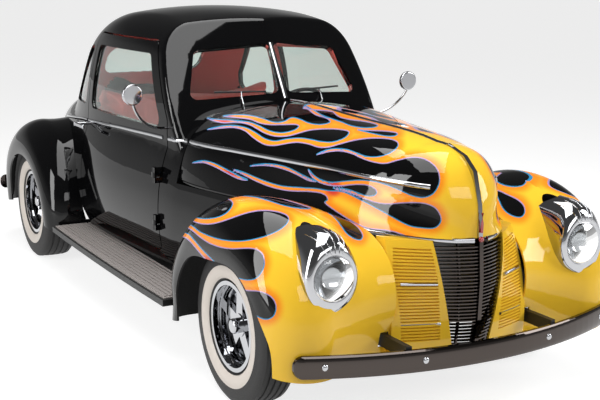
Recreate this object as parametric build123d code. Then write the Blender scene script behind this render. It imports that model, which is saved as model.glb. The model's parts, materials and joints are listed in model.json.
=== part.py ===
"""Flame-painted coupe hot rod, as separate pieces in one frame.

Millimetres. The car faces -Y, its left side is +X and +Z is up. The origin lies on the floor, midway along the car.
"""

import math
import os

from build123d import *

# Wheels and stance
FRONT_AXLE_Y = -1590.0
REAR_AXLE_Y = 1255.0
TYRE_R_FRONT = 337.0
TYRE_R_REAR = 350.0
TYRE_W_FRONT = 176.0
TYRE_W_REAR = 205.0
WHEEL_X_FRONT = 738.0
WHEEL_X_REAR = 745.0
RIM_R = 195.0
KINGPIN_X = 640.0
RUN_CLEARANCE = 0.05

# Body
BODY_FRONT_Y = -600.0
WALL = 62.0
SHIELD_ROUND = 45.0
ROOF_WALL = 38.0
PANEL_GAP = 8.0
SEAT_GAP = 0.4
BELT_BASE_Z = 900.0
GLASS_T = 5.0
GLASS_SET = 14.0
DOOR_FRONT_Y = -440.0
DOOR_REAR_Y = 650.0
DOOR_BOTTOM_Z = 395.0
HINGE_OUT = 36.0
SHEET_T = 10.0
HOOD_T = 16.0

# Ends
BUMPER_FACE_Y = 2330.0
BUMPER_Z = 327.0
BUMPER_H = 92.0
BUMPER_T = 14.0

# One ring of a body, front to rear: crown and side points join a top arc to tangent side arcs.
RING_COLUMNS = ("y", "top", "crown_x", "crown_z", "side_x", "side_z", "base_x", "base_z")
GREENHOUSE = (
    (-760, 1452, 335, 1428, 512, 1278, 572, BELT_BASE_Z),
    (-380, 1545, 380, 1517, 562, 1360, 612, BELT_BASE_Z),
    (100, 1600, 400, 1570, 592, 1400, 650, BELT_BASE_Z),
    (550, 1588, 395, 1558, 592, 1385, 660, BELT_BASE_Z),
    (900, 1505, 350, 1477, 550, 1305, 632, BELT_BASE_Z),
    (1180, 1345, 290, 1320, 480, 1160, 570, BELT_BASE_Z),
    (1430, 1090, 225, 1072, 380, 965, 420, BELT_BASE_Z),
)
TUB = (
    (BODY_FRONT_Y, 1150, 380, 1106, 580, 935, 606, 330),
    (-130, 1141, 424, 1103, 636, 930, 650, 330),
    (350, 1126, 450, 1092, 666, 916, 676, 330),
    (830, 1101, 446, 1068, 648, 890, 662, 330),
    (1280, 1056, 402, 1022, 584, 842, 600, 335),
    (1660, 970, 336, 936, 498, 762, 520, 350),
    (1940, 815, 262, 786, 400, 646, 430, 375),
    (2125, 600, 190, 580, 300, 510, 335, 410),
)
HOOD = (
    (BODY_FRONT_Y - PANEL_GAP, 1150, 380, 1106, 580, 935, 612, 790),
    (-1130, 1146, 308, 1106, 482, 936, 524, 783),
    (-1570, 1136, 228, 1099, 370, 932, 415, 777),
    (-1910, 1114, 158, 1081, 270, 922, 312, 772),
    (-2120, 1058, 88, 1034, 160, 888, 192, 768),
    (-2212, 880, 24, 866, 48, 812, 62, 766),
)


def row(columns, values):
    return dict(zip(columns, values))


def tangent_arc(start, end, before):
    return TangentArc(start, end, tangent=before % 1)


def ring(values, inset=0.0, shift_y=0.0, drop=0.0):
    r = row(RING_COLUMNS, values)
    y = r["y"] + shift_y
    top = (0, y, r["top"] - inset)
    crown = (r["crown_x"] - 0.4 * inset, y, r["crown_z"] - inset)
    side = (r["side_x"] - inset, y, r["side_z"] - 0.3 * inset)
    base = (r["base_x"] - inset, y, r["base_z"] - drop)
    over = ThreePointArc((-crown[0], y, crown[2]), top, crown)
    corner = tangent_arc(crown, side, over)
    flank = tangent_arc(side, base, corner)
    floor = Line(base, (-base[0], y, base[2]))
    left = [edge.mirror(Plane.YZ) for edge in (corner, flank)]
    return Wire([over, corner, flank, floor] + left)


def body_loft(table, inset=0.0, front=0.0, rear=0.0, drop=0.0):
    last = len(table) - 1
    rings = []
    for i, values in enumerate(table):
        shift_y = front if i == 0 else (-rear if i == last else 0.0)
        rings.append(ring(values, inset, shift_y, drop))
    return Solid.make_loft(rings)


# Windshield: two flat panes meeting in a shallow V.
SHIELD_FOOT = Vector(0, -572, 1160)
SHIELD_HEAD = Vector(0, -370, 1478)
SHIELD_CORNER = Vector(-545, -470, 1130)


def shield_plane(side, depth=0.0):
    across = SHIELD_CORNER - SHIELD_FOOT
    up = SHIELD_HEAD - SHIELD_FOOT
    normal = across.cross(up).normalized()
    if normal.Y > 0:
        normal = normal * -1
    plane = Plane(SHIELD_FOOT - normal * depth, x_dir=across.normalized(), z_dir=normal)
    if side > 0:
        plane = Plane(
            (-plane.origin.X, plane.origin.Y, plane.origin.Z),
            x_dir=(-plane.x_dir.X, plane.x_dir.Y, plane.x_dir.Z),
            z_dir=(-plane.z_dir.X, plane.z_dir.Y, plane.z_dir.Z),
        )
    return plane


def greenhouse(inset=0.0):
    solid = body_loft(GREENHOUSE, inset, rear=inset, drop=0.0)
    for side in (-1, 1):
        solid -= shield_plane(side, inset) * Pos(0, 0, 1000) * Box(4000, 4000, 2000)
    front = BODY_FRONT_Y + 15.0 + inset
    return solid - Pos(0, front - 500, 1000) * Box(2000, 1000, 2000)


def round_shield(solid, radius):
    panes = [f for f in solid.faces() if f.geom_type == GeomType.PLANE and f.normal_at().Z > 0.3]
    edges = [e for f in panes for e in f.edges() if e.geom_type != GeomType.LINE]
    return fillet(edges, radius)


def both_sides(solid):
    return [solid, solid.mirror(Plane.YZ)]


def largest(shape):
    return max(shape.solids(), key=lambda solid: solid.volume)


def side_prism(points, radius, x_from, x_to):
    outline = FilletPolyline(*[(y, z) for y, z in points], radius=radius, close=True)
    face = Plane((x_from, 0, 0), x_dir=(0, 1, 0), z_dir=(1, 0, 0)) * make_face(outline)
    return extrude(face, x_to - x_from)


# Door and windows, as side outlines of (y, z), front bottom corner first.
DOOR_TOP_Z = 1442.0
DOOR_WINDOW = ((-382, 1015), (-165, 1378), (590, 1378), (590, 1015))
QUARTER_WINDOW = ((712, 1020), (712, 1372), (890, 1345), (1050, 1130), (1080, 1020))
REAR_WINDOW_X = 335.0
REAR_WINDOW_Z = (1140.0, 1318.0)
SIDE_X = (-900.0, -330.0)


def door_prism(extra):
    outline = (
        (DOOR_FRONT_Y - extra, DOOR_BOTTOM_Z - extra),
        (DOOR_FRONT_Y - extra, 1062 + 0.6 * extra),
        (-200 - 0.6 * extra, DOOR_TOP_Z + extra),
        (DOOR_REAR_Y + extra, DOOR_TOP_Z + extra),
        (DOOR_REAR_Y + extra, DOOR_BOTTOM_Z - extra),
    )
    return side_prism(outline, 40 + extra, *SIDE_X)


def shrink(points, amount):
    cy = (min(p[0] for p in points) + max(p[0] for p in points)) / 2
    cz = (min(p[1] for p in points) + max(p[1] for p in points)) / 2
    hy = max(p[0] for p in points) - cy
    hz = max(p[1] for p in points) - cz
    return [(cy + (y - cy) * (1 - amount / hy), cz + (z - cz) * (1 - amount / hz)) for y, z in points]


def window_prism(points, amount=0.0):
    return side_prism(shrink(points, amount), 42 - amount, *SIDE_X)


def rear_window_prism(amount=0.0):
    low, high = REAR_WINDOW_Z
    size = (2 * (REAR_WINDOW_X - amount), high - low - 2 * amount)
    face = Plane((0, 1000, (low + high) / 2), x_dir=(1, 0, 0), z_dir=(0, 1, 0)) * RectangleRounded(*size, 70 - amount)
    return extrude(face, 500)


PANE = ((28, 30), (506, 30), (432, 312), (28, 322))


def pane_prism(side, depth, thick, amount=0.0):
    points = shrink(PANE, amount)
    if side > 0:
        points = [(u, -v) for u, v in points]
    plane = shield_plane(side, depth)
    up = plane.y_dir.Z > 0
    flat = [(u, abs(v) if up else -abs(v)) for u, v in points]
    face = plane * make_face(FilletPolyline(*flat, radius=38 - amount, close=True))
    return extrude(face, thick)


DECK_MID = Vector(0, 1785, 905)
DECK_NORMAL = Vector(0, 0.479, 0.878)
DECK_HALF = 318.0


def deck_prism(extra):
    plane = Plane(DECK_MID - DECK_NORMAL * 330, x_dir=(1, 0, 0), z_dir=DECK_NORMAL)
    front = DECK_HALF + extra
    points = ((-400 - extra, -front), (400 + extra, -front), (262 + extra, front), (-262 - extra, front))
    return extrude(plane * make_face(FilletPolyline(*points, radius=70 + extra, close=True)), 560)


# Cowl sides carry on below the hood to the front fenders.
COWL_FRONT_Y = -1180.0
COWL_TOP_Z = 768.0
COWL = (
    (COWL_FRONT_Y, 1145, 300, 1105, 470, 935, 545, 330),
    TUB[0],
)

# The underside steps up over the rear axle.
UNDERSIDE = ((590, 200), (590, 330), (862, 520), (1750, 505), (2140, 415), (2140, 200))

body = round_shield(greenhouse(), SHIELD_ROUND) + body_loft(TUB)
body -= side_prism(UNDERSIDE, 10, -900, 900)
HOUSE_X = 622.0
for side in (-1, 1):
    body -= Pos(side * (HOUSE_X + 200), REAR_AXLE_Y, TYRE_R_REAR) * Rot(0, 90, 0) * Cylinder(TYRE_R_REAR + 24, 400)
hollow = greenhouse(ROOF_WALL) + body_loft(TUB, WALL, front=30, rear=60, drop=220)
whole_shell = body - hollow
cowl_band = Pos(0, (COWL_FRONT_Y + BODY_FRONT_Y) / 2, (330 + COWL_TOP_Z) / 2) * Box(
    1400, BODY_FRONT_Y - COWL_FRONT_Y, COWL_TOP_Z - 330
)
cowl_sides = (body_loft(COWL) - body_loft(COWL, 18, drop=10)) & cowl_band

door_cut = door_prism(PANEL_GAP)
quarter_cut = window_prism(QUARTER_WINDOW)
body_shell = whole_shell
for cut in both_sides(door_cut) + both_sides(quarter_cut) + [rear_window_prism(), deck_prism(PANEL_GAP)]:
    body_shell -= cut
for side in (-1, 1):
    body_shell -= pane_prism(side, 120, 240)
body_shell = body_shell + cowl_sides

door_right = (whole_shell & door_prism(0)) - window_prism(DOOR_WINDOW)
glass_layer = greenhouse(GLASS_SET) - greenhouse(GLASS_SET + GLASS_T)
door_glass_right = glass_layer & window_prism(DOOR_WINDOW, SEAT_GAP)
quarter_glass = glass_layer & window_prism(QUARTER_WINDOW, SEAT_GAP)
rear_glass = glass_layer & rear_window_prism(SEAT_GAP)
shield_glass = [pane_prism(side, GLASS_SET + GLASS_T, GLASS_T, SEAT_GAP) for side in (-1, 1)]
deck_lid = whole_shell & deck_prism(0)

# The hood is lofted in two overlapping halves, so that its blunt nose doesn't bend its long top.
HOOD_SPLIT = 3


def hood_loft(inset=0.0, front=0.0, rear=0.0, drop=0.0):
    split_y = HOOD[HOOD_SPLIT][0]
    behind = body_loft(HOOD[:HOOD_SPLIT + 2], inset, front=front, drop=drop)
    ahead = body_loft(HOOD[HOOD_SPLIT - 1:], inset, rear=rear, drop=drop)
    behind &= Pos(0, split_y + 1000, 900) * Box(3000, 2000, 2000)
    ahead &= Pos(0, split_y - 1000, 900) * Box(3000, 2000, 2000)
    return behind + ahead


hood = hood_loft() - hood_loft(HOOD_T, front=60, rear=-18, drop=60)


# Fenders: each row is one slice in a plane through the wheel axis, angles from straight ahead.
FENDER_COLUMNS = ("angle", "lip_x", "lip_r", "crown_x", "crown_r", "inner_x", "inner_r")
FRONT_FENDER = (
    (-9, 850, 462, 620, 545, 344, 522),
    (15, 872, 436, 630, 574, 334, 548),
    (38, 888, 396, 640, 594, 330, 580),
    (62, 897, 352, 650, 578, 342, 505),
    (90, 900, 300, 660, 548, 380, 452),
    (118, 900, 322, 672, 545, 436, 500),
    (142, 897, 362, 690, 562, 504, 576),
    (165, 892, 394, 722, 568, 575, 590),
    (191, 886, 404, 745, 562, 640, 562),
)
REAR_FENDER = (
    (-9, 884, 400, 770, 560, 600, 575),
    (25, 894, 356, 745, 545, 590, 560),
    (60, 898, 320, 722, 522, 560, 545),
    (90, 898, 308, 708, 515, 540, 530),
    (120, 894, 322, 688, 545, 500, 545),
    (150, 880, 376, 656, 628, 440, 606),
    (175, 852, 458, 626, 726, 414, 690),
    (189, 836, 502, 616, 762, 410, 716),
)


def fender_slice(values, axle_y, axle_z):
    r = row(FENDER_COLUMNS, values)
    angle = math.radians(r["angle"])

    def at(x, radius):
        return Vector(-x, axle_y - radius * math.cos(angle), axle_z + radius * math.sin(angle))

    def shell(cut):
        lip = at(r["lip_x"] - cut, r["lip_r"])
        fullness = 0.75
        shoulder_x = r["crown_x"] + fullness * (r["lip_x"] - r["crown_x"]) - 0.7 * cut
        shoulder_r = r["lip_r"] + fullness * (r["crown_r"] - r["lip_r"]) - 0.7 * cut
        crown = at(r["crown_x"], r["crown_r"] - cut)
        outside = ThreePointArc(lip, at(shoulder_x, shoulder_r), crown)
        inner = at(r["inner_x"], r["inner_r"] - cut)
        return outside, tangent_arc(crown, inner, outside)

    outside = shell(0.0)
    inside = shell(SHEET_T)
    tip = Line(outside[1] @ 1, inside[1] @ 1)
    lip_edge = Line(inside[0] @ 0, outside[0] @ 0)
    return Wire([outside[0], outside[1], tip, inside[1], inside[0], lip_edge])


def fender(table, axle_y, axle_z):
    return Solid.make_loft([fender_slice(values, axle_y, axle_z) for values in table])


# Headlamps sit in the fender fronts: round lens below, small arch above.
LAMP = Vector(-630, -2075, 655)
LAMP_R = 116.0
LAMP_TOP_R = 58.0
LAMP_TOP_RISE = 118.0
LENS_R = 96.0


def lamp_outline(extra):
    big = Circle(LAMP_R + extra)
    small = Pos(0, LAMP_TOP_RISE) * Circle(LAMP_TOP_R + extra)
    return make_hull((big + small).edges())


def lamp_prism(extra, y_from, y_to):
    plane = Plane((LAMP.X, y_from, LAMP.Z), x_dir=(1, 0, 0), z_dir=(0, -1, 0))
    return extrude(plane * lamp_outline(extra), y_from - y_to)


LAMP_FACE_Y = -2128.0
LAMP_BACK_Y = -1965.0
lamp_rim_right = lamp_prism(0, LAMP_BACK_Y, LAMP_FACE_Y)
slope = Plane((LAMP.X, LAMP_FACE_Y + 8, LAMP.Z + 92), x_dir=(1, 0, 0), z_dir=(0, -0.80, 0.60))
lamp_rim_right -= slope * Pos(0, 0, 200) * Box(600, 600, 400)
lens_hole = Plane((LAMP.X, LAMP_FACE_Y - 40, LAMP.Z), x_dir=(1, 0, 0), z_dir=(0, 1, 0)) * Cylinder(
    LENS_R, 80, align=(Align.CENTER, Align.CENTER, Align.MIN)
)
lamp_rim_right -= lens_hole
LENS_DOME_R = 260.0
lens_back_y = LAMP_FACE_Y + 40 - SEAT_GAP
lens_dome = Pos(LAMP.X, LAMP_FACE_Y - 22 + LENS_DOME_R, LAMP.Z) * Sphere(LENS_DOME_R)
lens_body = Plane((LAMP.X, lens_back_y, LAMP.Z), x_dir=(1, 0, 0), z_dir=(0, -1, 0)) * Cylinder(
    LENS_R - SEAT_GAP, 90, align=(Align.CENTER, Align.CENTER, Align.MIN)
)
lamp_lens_right = lens_body & lens_dome

hood_room = hood_loft(-PANEL_GAP - 5, front=PANEL_GAP, rear=PANEL_GAP)
cowl_room = body_loft(COWL, -SEAT_GAP, front=-SEAT_GAP, rear=0)
front_fender_right = fender(FRONT_FENDER, FRONT_AXLE_Y, TYRE_R_FRONT)
hood_rooms = [Pos(0, 0, -drop) * hood_room for drop in (0, PANEL_GAP + 4, 40, 90)]
for room in hood_rooms + [cowl_room, lamp_prism(SEAT_GAP, LAMP_BACK_Y + 200, LAMP_FACE_Y - 100)]:
    front_fender_right = largest(front_fender_right - room)
rear_fender_right = fender(REAR_FENDER, REAR_AXLE_Y, TYRE_R_REAR) - body_loft(TUB, -SEAT_GAP)



# Nose below the hood: side panels with louvres either side of a bright grille.
NOSE_COLUMNS = ("z", "tip_y", "edge_x", "edge_y", "mid_x", "mid_y", "outer_x", "outer_y")
NOSE = (
    (250, -2205, 82, -2176, 215, -2148, 345, -2096),
    (420, -2232, 116, -2188, 232, -2152, 342, -2108),
    (590, -2238, 150, -2180, 248, -2130, 336, -2078),
    (756, -2226, 176, -2142, 260, -2078, 322, -2018),
)
NOSE_DEPTH = 70.0
LOUVRE_COUNT = 29
LOUVRE_PITCH = 13.2
LOUVRE_H = 6.0
LOUVRE_Z = 352.0
GRILLE_BARS = 31
GRILLE_PITCH = 14.6
GRILLE_BAR_H = 5.0
GRILLE_Z = 292.0


def nose_slice(values, back=0.0):
    r = row(NOSE_COLUMNS, values)
    edge = (-r["edge_x"], r["edge_y"] + back, r["z"])
    mid = (-r["mid_x"], r["mid_y"] + back, r["z"])
    outer = (-r["outer_x"], r["outer_y"] + back, r["z"])
    outer_back = (-r["outer_x"], r["outer_y"] + NOSE_DEPTH, r["z"])
    edge_back = (-r["edge_x"], r["edge_y"] + NOSE_DEPTH, r["z"])
    return Wire([
        ThreePointArc(edge, mid, outer), Line(outer, outer_back), Line(outer_back, edge_back), Line(edge_back, edge),
    ])


nose_block = Solid.make_loft([nose_slice(values) for values in NOSE])
nose_core = Solid.make_loft([nose_slice(values, 12.0) for values in NOSE])
louvre_skin = nose_block - nose_core
louvre_slabs = [
    Pos(-240, -2120, LOUVRE_Z + i * LOUVRE_PITCH) * Box(400, 400, LOUVRE_H) for i in range(LOUVRE_COUNT)
]


def between(table, columns, z, name):
    rows = [row(columns, values) for values in table]
    for low, high in zip(rows, rows[1:]):
        if low["z"] <= z <= high["z"]:
            share = (z - low["z"]) / (high["z"] - low["z"])
            return low[name] + share * (high[name] - low[name])
    return rows[-1][name]


LOUVRE_FIELD = ((-142, 252), (-300, 252), (-318, 640), (-300, 756), (-188, 756), (-166, 600))
field_face = Plane((0, -2400, 0), x_dir=(1, 0, 0), z_dir=(0, -1, 0)) * make_face(
    FilletPolyline(*LOUVRE_FIELD, radius=20, close=True)
)
louvre_field = extrude(field_face, -600)
nose_panel_right = nose_block - (louvre_skin & louvre_field & Compound(louvre_slabs))
nose_panel_right = largest(nose_panel_right - front_fender_right)


def grille_bar(z, height, inset, depth):
    tip_y = between(NOSE, NOSE_COLUMNS, z, "tip_y") + inset
    edge_x = between(NOSE, NOSE_COLUMNS, z, "edge_x") - 1.2
    edge_y = between(NOSE, NOSE_COLUMNS, z, "edge_y") + inset
    bow = (edge_x * 0.55, tip_y + 0.40 * (edge_y - tip_y))
    front = ThreePointArc((0, tip_y), bow, (edge_x, edge_y))
    back = ThreePointArc((0, tip_y + depth), (bow[0], bow[1] + depth), (edge_x, edge_y + depth))
    half = make_face([front, Line((edge_x, edge_y), (edge_x, edge_y + depth)), back, Line((0, tip_y), (0, tip_y + depth))])
    plane = Plane((0, 0, z - height / 2))
    whole = half + half.mirror(Plane.YZ)
    return extrude(plane * whole, height)


def grille_upright(x_half, out, depth):
    points = [(r[1] - out, r[0]) for r in NOSE] + [(r[1] + depth, r[0]) for r in reversed(NOSE)]
    face = Plane((-x_half, 0, 0), x_dir=(0, 1, 0), z_dir=(1, 0, 0)) * make_face(Polyline(*points, close=True))
    return extrude(face, 2 * x_half)


grille = grille_upright(9, 4, 30)
for share in (-0.62, 0.62):
    rib_points = []
    for values in NOSE:
        r = row(NOSE_COLUMNS, values)
        rib_points.append((r["tip_y"] + 0.47 * (r["edge_y"] - r["tip_y"]), r["z"], r["edge_x"]))
    face_points = [(y + 14, z) for y, z, x in rib_points] + [(y + 26, z) for y, z, x in reversed(rib_points)]
    rib = Plane((share * 120 - 4, 0, 0), x_dir=(0, 1, 0), z_dir=(1, 0, 0)) * make_face(Polyline(*face_points, close=True))
    grille += extrude(rib, 8)
grille += [grille_bar(GRILLE_Z + i * GRILLE_PITCH, GRILLE_BAR_H, 6, 20) for i in range(GRILLE_BARS)]

# Bumpers
BUMPER_END_X = 812.0
BUMPER_SWEEP = 188.0
BUMPER_IRON_X = 322.0


def bumper_arc(sign, back):
    face_y = sign * (BUMPER_FACE_Y - back)
    end_y = sign * (BUMPER_FACE_Y - back - BUMPER_SWEEP)
    return ThreePointArc((-BUMPER_END_X, end_y), (0, face_y), (BUMPER_END_X, end_y))


def bumper_strip(sign, back, thick, z, height):
    front = bumper_arc(sign, back)
    rear = bumper_arc(sign, back + thick)
    face = make_face([front, rear, Line(front @ 0, rear @ 0), Line(front @ 1, rear @ 1)])
    return extrude(Plane((0, 0, z - height / 2)) * face, height)


def bumper(sign):
    bar = bumper_strip(sign, 0, BUMPER_T, BUMPER_Z, BUMPER_H + 20)
    outline = Plane((0, 0, BUMPER_Z), x_dir=(1, 0, 0), z_dir=(0, -1, 0)) * RectangleRounded(
        2 * BUMPER_END_X - 4, BUMPER_H, 40
    )
    bar &= extrude(outline, 3000, both=True)
    iron_band = Pos(0, 0, BUMPER_Z) * Box(1520, 6000, 400)
    iron = bumper_strip(sign, BUMPER_T + SEAT_GAP, 10, BUMPER_Z, 60) & iron_band
    return bar, iron


front_bar, front_iron = bumper(-1)
rear_bar, rear_iron = bumper(1)

# Frame
RAIL_X = 365.0
RAIL_W = 60.0
RAIL_H = 74.0
FLOOR_Z = 334.0
RAIL_Z = FLOOR_Z - SEAT_GAP - RAIL_H
RAIL_PATH = ((-2000, 345), (-1260, 345), (-1010, RAIL_Z), (600, RAIL_Z), (870, 432), (1500, 432), (1900, 372), (2230, 300))
CROSS_COLUMNS = ("y", "z", "width", "height")
CROSS = ((-1965, 345, 70, 40), (-1590, 345, 90, 40), (350, 232, 80, 30), (1530, 432, 60, 40))


def rail(side):
    top = [(y, z + RAIL_H) for y, z in reversed(RAIL_PATH)]
    face = Plane((side * RAIL_X - RAIL_W / 2, 0, 0), x_dir=(0, 1, 0), z_dir=(1, 0, 0)) * make_face(
        Polyline(*(list(RAIL_PATH) + top), close=True)
    )
    return extrude(face, RAIL_W)


frame_rails = rail(-1) + rail(1)
for values in CROSS:
    c = row(CROSS_COLUMNS, values)
    frame_rails += Pos(0, c["y"], c["z"] + c["height"] / 2) * Box(2 * RAIL_X, c["width"], c["height"])


# The body's front wall is notched where it crosses the rails.
for side in (-1, 1):
    body_shell -= Pos(side * RAIL_X, BODY_FRONT_Y, FLOOR_Z - 20) * Box(RAIL_W + 2 * PANEL_GAP, 100, 40)

ARM_W = 24.0
ARM_H = 52.0


def bumper_arm(side, sign, extra):
    end_y = RAIL_PATH[0][0] if sign < 0 else RAIL_PATH[-1][0]
    arm_z = (RAIL_PATH[0][1] if sign < 0 else RAIL_PATH[-1][1]) + 12
    reach_y = sign * BUMPER_FACE_Y
    return Pos(side * RAIL_X, (end_y - sign * 20 + reach_y) / 2, arm_z) * Box(
        ARM_W + 2 * extra, abs(reach_y - end_y) + 20, ARM_H + 2 * extra
    )


for sign in (-1, 1):
    ahead = bumper_strip(sign, -50, 50 + BUMPER_T + 10 + 2 * SEAT_GAP, BUMPER_Z, 400)
    for side in (-1, 1):
        frame_rails += bumper_arm(side, sign, 0.0) - ahead
arm_room = bumper_arm(-1, -1, PANEL_GAP)
front_fender_right -= arm_room
nose_panel_right -= arm_room

# Running boards and their rubber tops
BOARD_Z = 280.0
BOARD_T = 30.0
BOARD_Y = (-1020.0, 682.0)
BOARD_X = (884.0, 896.0)
mat_t = 6.0


def board(x_out, z, thick, margin):
    front, rear = BOARD_Y
    arc = ThreePointArc(
        (-BOARD_X[0] + margin, front + margin), (-x_out + margin, (front + rear) / 2), (-BOARD_X[0] + margin, rear - margin)
    )
    inner_x = -560 if margin == 0 else -700
    face = make_face([
        arc, Line(arc @ 1, (inner_x, rear - margin)), Line((inner_x, rear - margin), (inner_x, front + margin)),
        Line((inner_x, front + margin), arc @ 0),
    ])
    return extrude(Plane((0, 0, z)) * face, thick)


BOARD_STAYS_Y = (-760.0, -100.0, 480.0)
stay_z = BOARD_Z - SEAT_GAP - 14
for side in (-1, 1):
    frame_rails += [Pos(side * 590, y, stay_z) * Box(450, 36, 28) for y in BOARD_STAYS_Y]
running_board_right = board(BOARD_X[1], BOARD_Z, BOARD_T, 0) - cowl_room - body_loft(TUB, -SEAT_GAP)
board_mat_right = board(BOARD_X[1], BOARD_Z + BOARD_T + SEAT_GAP, mat_t, 14) - cowl_room - body_loft(TUB, -SEAT_GAP)

# Wheels, drawn for the left side with the outer face towards +X, centred on the axle.
BEAD = 0.36
HUB_R = 50.0
HUB_IN = 30.0
HUB_OUT = 34.0
SPINDLE_R = 20.0
SPOKES = 5


def tyre(radius, width):
    bead = BEAD * width
    low = RIM_R + SEAT_GAP
    shoulder = (0.37 * width, radius - 9)
    bulge = (0.5 * width, low + 0.46 * (radius - low))
    right = ThreePointArc((bead, low), bulge, shoulder)
    tread = ThreePointArc(shoulder, (0, radius), (-shoulder[0], shoulder[1]))
    left = ThreePointArc((-shoulder[0], shoulder[1]), (-bulge[0], bulge[1]), (-bead, low))
    face = make_face([right, tread, left, Line((-bead, low), (bead, low))])
    return revolve(face, Axis.X)


def ring_of(x0, x1, r0, r1):
    outside = Pos((x0 + x1) / 2, 0, 0) * Rot(0, 90, 0) * Cylinder(r1, x1 - x0)
    return outside - Pos((x0 + x1) / 2, 0, 0) * Rot(0, 90, 0) * Cylinder(r0, x1 - x0 + 10)


def disc(x0, x1, radius):
    return Pos((x0 + x1) / 2, 0, 0) * Rot(0, 90, 0) * Cylinder(radius, x1 - x0)


def rim(width):
    edge = BEAD * width + 9
    body_ring = ring_of(-edge, edge, RIM_R - 9, RIM_R)
    body_ring += ring_of(edge - 9, edge, RIM_R - 18, RIM_R)
    body_ring += ring_of(edge - 48, edge - 36, RIM_R - 26, RIM_R)
    hub = disc(-HUB_IN, HUB_OUT, HUB_R)
    cap = disc(HUB_OUT, HUB_OUT + 34, 33)
    cap = fillet(cap.edges().sort_by(Axis.X)[-1:], 10)
    spoke_face = Plane((4, 0, 0), x_dir=(0, 1, 0), z_dir=(1, 0, 0)) * make_face(
        Polyline((-30, 30), (30, 30), (22, RIM_R - 6), (-22, RIM_R - 6), close=True)
    )
    spoke = extrude(spoke_face, 26)
    wheel = body_ring + hub + cap
    wheel += [Rot(360 / SPOKES * i, 0, 0) * spoke for i in range(SPOKES)]
    return wheel - disc(-HUB_IN - 5, HUB_OUT - 6, SPINDLE_R + RUN_CLEARANCE)


WHEEL_COLUMNS = ("name", "side", "y", "x", "radius", "width")
WHEELS = (
    ("front_right", -1, FRONT_AXLE_Y, WHEEL_X_FRONT, TYRE_R_FRONT, TYRE_W_FRONT),
    ("front_left", 1, FRONT_AXLE_Y, WHEEL_X_FRONT, TYRE_R_FRONT, TYRE_W_FRONT),
    ("rear_right", -1, REAR_AXLE_Y, WHEEL_X_REAR, TYRE_R_REAR, TYRE_W_REAR),
    ("rear_left", 1, REAR_AXLE_Y, WHEEL_X_REAR, TYRE_R_REAR, TYRE_W_REAR),
)

# Axles
BEAM_Z = 268.0
BEAM_H = 54.0
EYE_R = 27.0
PIN_R = 13.0
EAR_T = 22.0
PLATE_X = 676.0
PLATE_T = 18.0
DRUM_R = 138.0
DRUM_T = 10.0
AXLE_TUBE_R = 38.0

front_axle = Pos(0, FRONT_AXLE_Y, BEAM_Z) * Box(2 * KINGPIN_X, 44, BEAM_H)
for side in (-1, 1):
    front_axle += Pos(side * KINGPIN_X, FRONT_AXLE_Y, BEAM_Z) * Cylinder(EYE_R, BEAM_H)
for side in (-1, 1):
    front_axle -= Pos(side * KINGPIN_X, FRONT_AXLE_Y, BEAM_Z) * Cylinder(PIN_R + RUN_CLEARANCE, BEAM_H + 20)

ear_gap = 1.0
ear_z = BEAM_H / 2 + ear_gap + EAR_T / 2
knuckle_left = Pos(KINGPIN_X, 0, BEAM_Z) * Cylinder(PIN_R, BEAM_H + 2 * ear_gap + 2 * EAR_T)
for up in (-1, 1):
    knuckle_left += Pos(KINGPIN_X, 0, BEAM_Z + up * ear_z) * Cylinder(EYE_R, EAR_T)
    knuckle_left += Pos((KINGPIN_X + PLATE_X) / 2, 0, BEAM_Z + up * ear_z) * Box(PLATE_X - KINGPIN_X, 40, EAR_T)
plate_low = BEAM_Z - ear_z - EAR_T / 2
plate_high = TYRE_R_FRONT + 40
knuckle_left += Pos(PLATE_X, 0, (plate_low + plate_high) / 2) * Box(PLATE_T, 60, plate_high - plate_low)
spindle_from = PLATE_X + PLATE_T / 2
spindle_to = WHEEL_X_FRONT + HUB_OUT - 8
knuckle_left += Pos(0, 0, TYRE_R_FRONT) * disc(spindle_from - 4, spindle_to, SPINDLE_R)
knuckle_left += Pos(0, 0, TYRE_R_FRONT) * disc(spindle_from - DRUM_T, spindle_from + 4, DRUM_R)
knuckle_left = Pos(0, FRONT_AXLE_Y, 0) * knuckle_left

rear_plate_x = WHEEL_X_REAR - HUB_IN - 14
rear_axle = disc(-rear_plate_x, rear_plate_x, AXLE_TUBE_R) + Sphere(122)
for side in (-1, 1):
    rear_axle += [
        Pos(side * rear_plate_x, 0, 0) * disc(-DRUM_T, DRUM_T / 2, DRUM_R) if side > 0
        else Pos(side * rear_plate_x, 0, 0) * disc(-DRUM_T / 2, DRUM_T, DRUM_R),
        Pos(side * (rear_plate_x + WHEEL_X_REAR + HUB_OUT - 8) / 2, 0, 0) * Rot(0, 90, 0) * Cylinder(
            SPINDLE_R, WHEEL_X_REAR + HUB_OUT - 8 - rear_plate_x
        ),
    ]
rear_axle = Pos(0, REAR_AXLE_Y, TYRE_R_REAR) * rear_axle
shaft_from = Vector(0, -288, 262)
shaft_to = Vector(0, REAR_AXLE_Y - 60, TYRE_R_REAR - 20)
shaft_plane = Plane(shaft_from, z_dir=shaft_to - shaft_from)
rear_axle += shaft_plane * Cylinder(24, (shaft_to - shaft_from).length, align=(Align.CENTER, Align.CENTER, Align.MIN))

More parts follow.
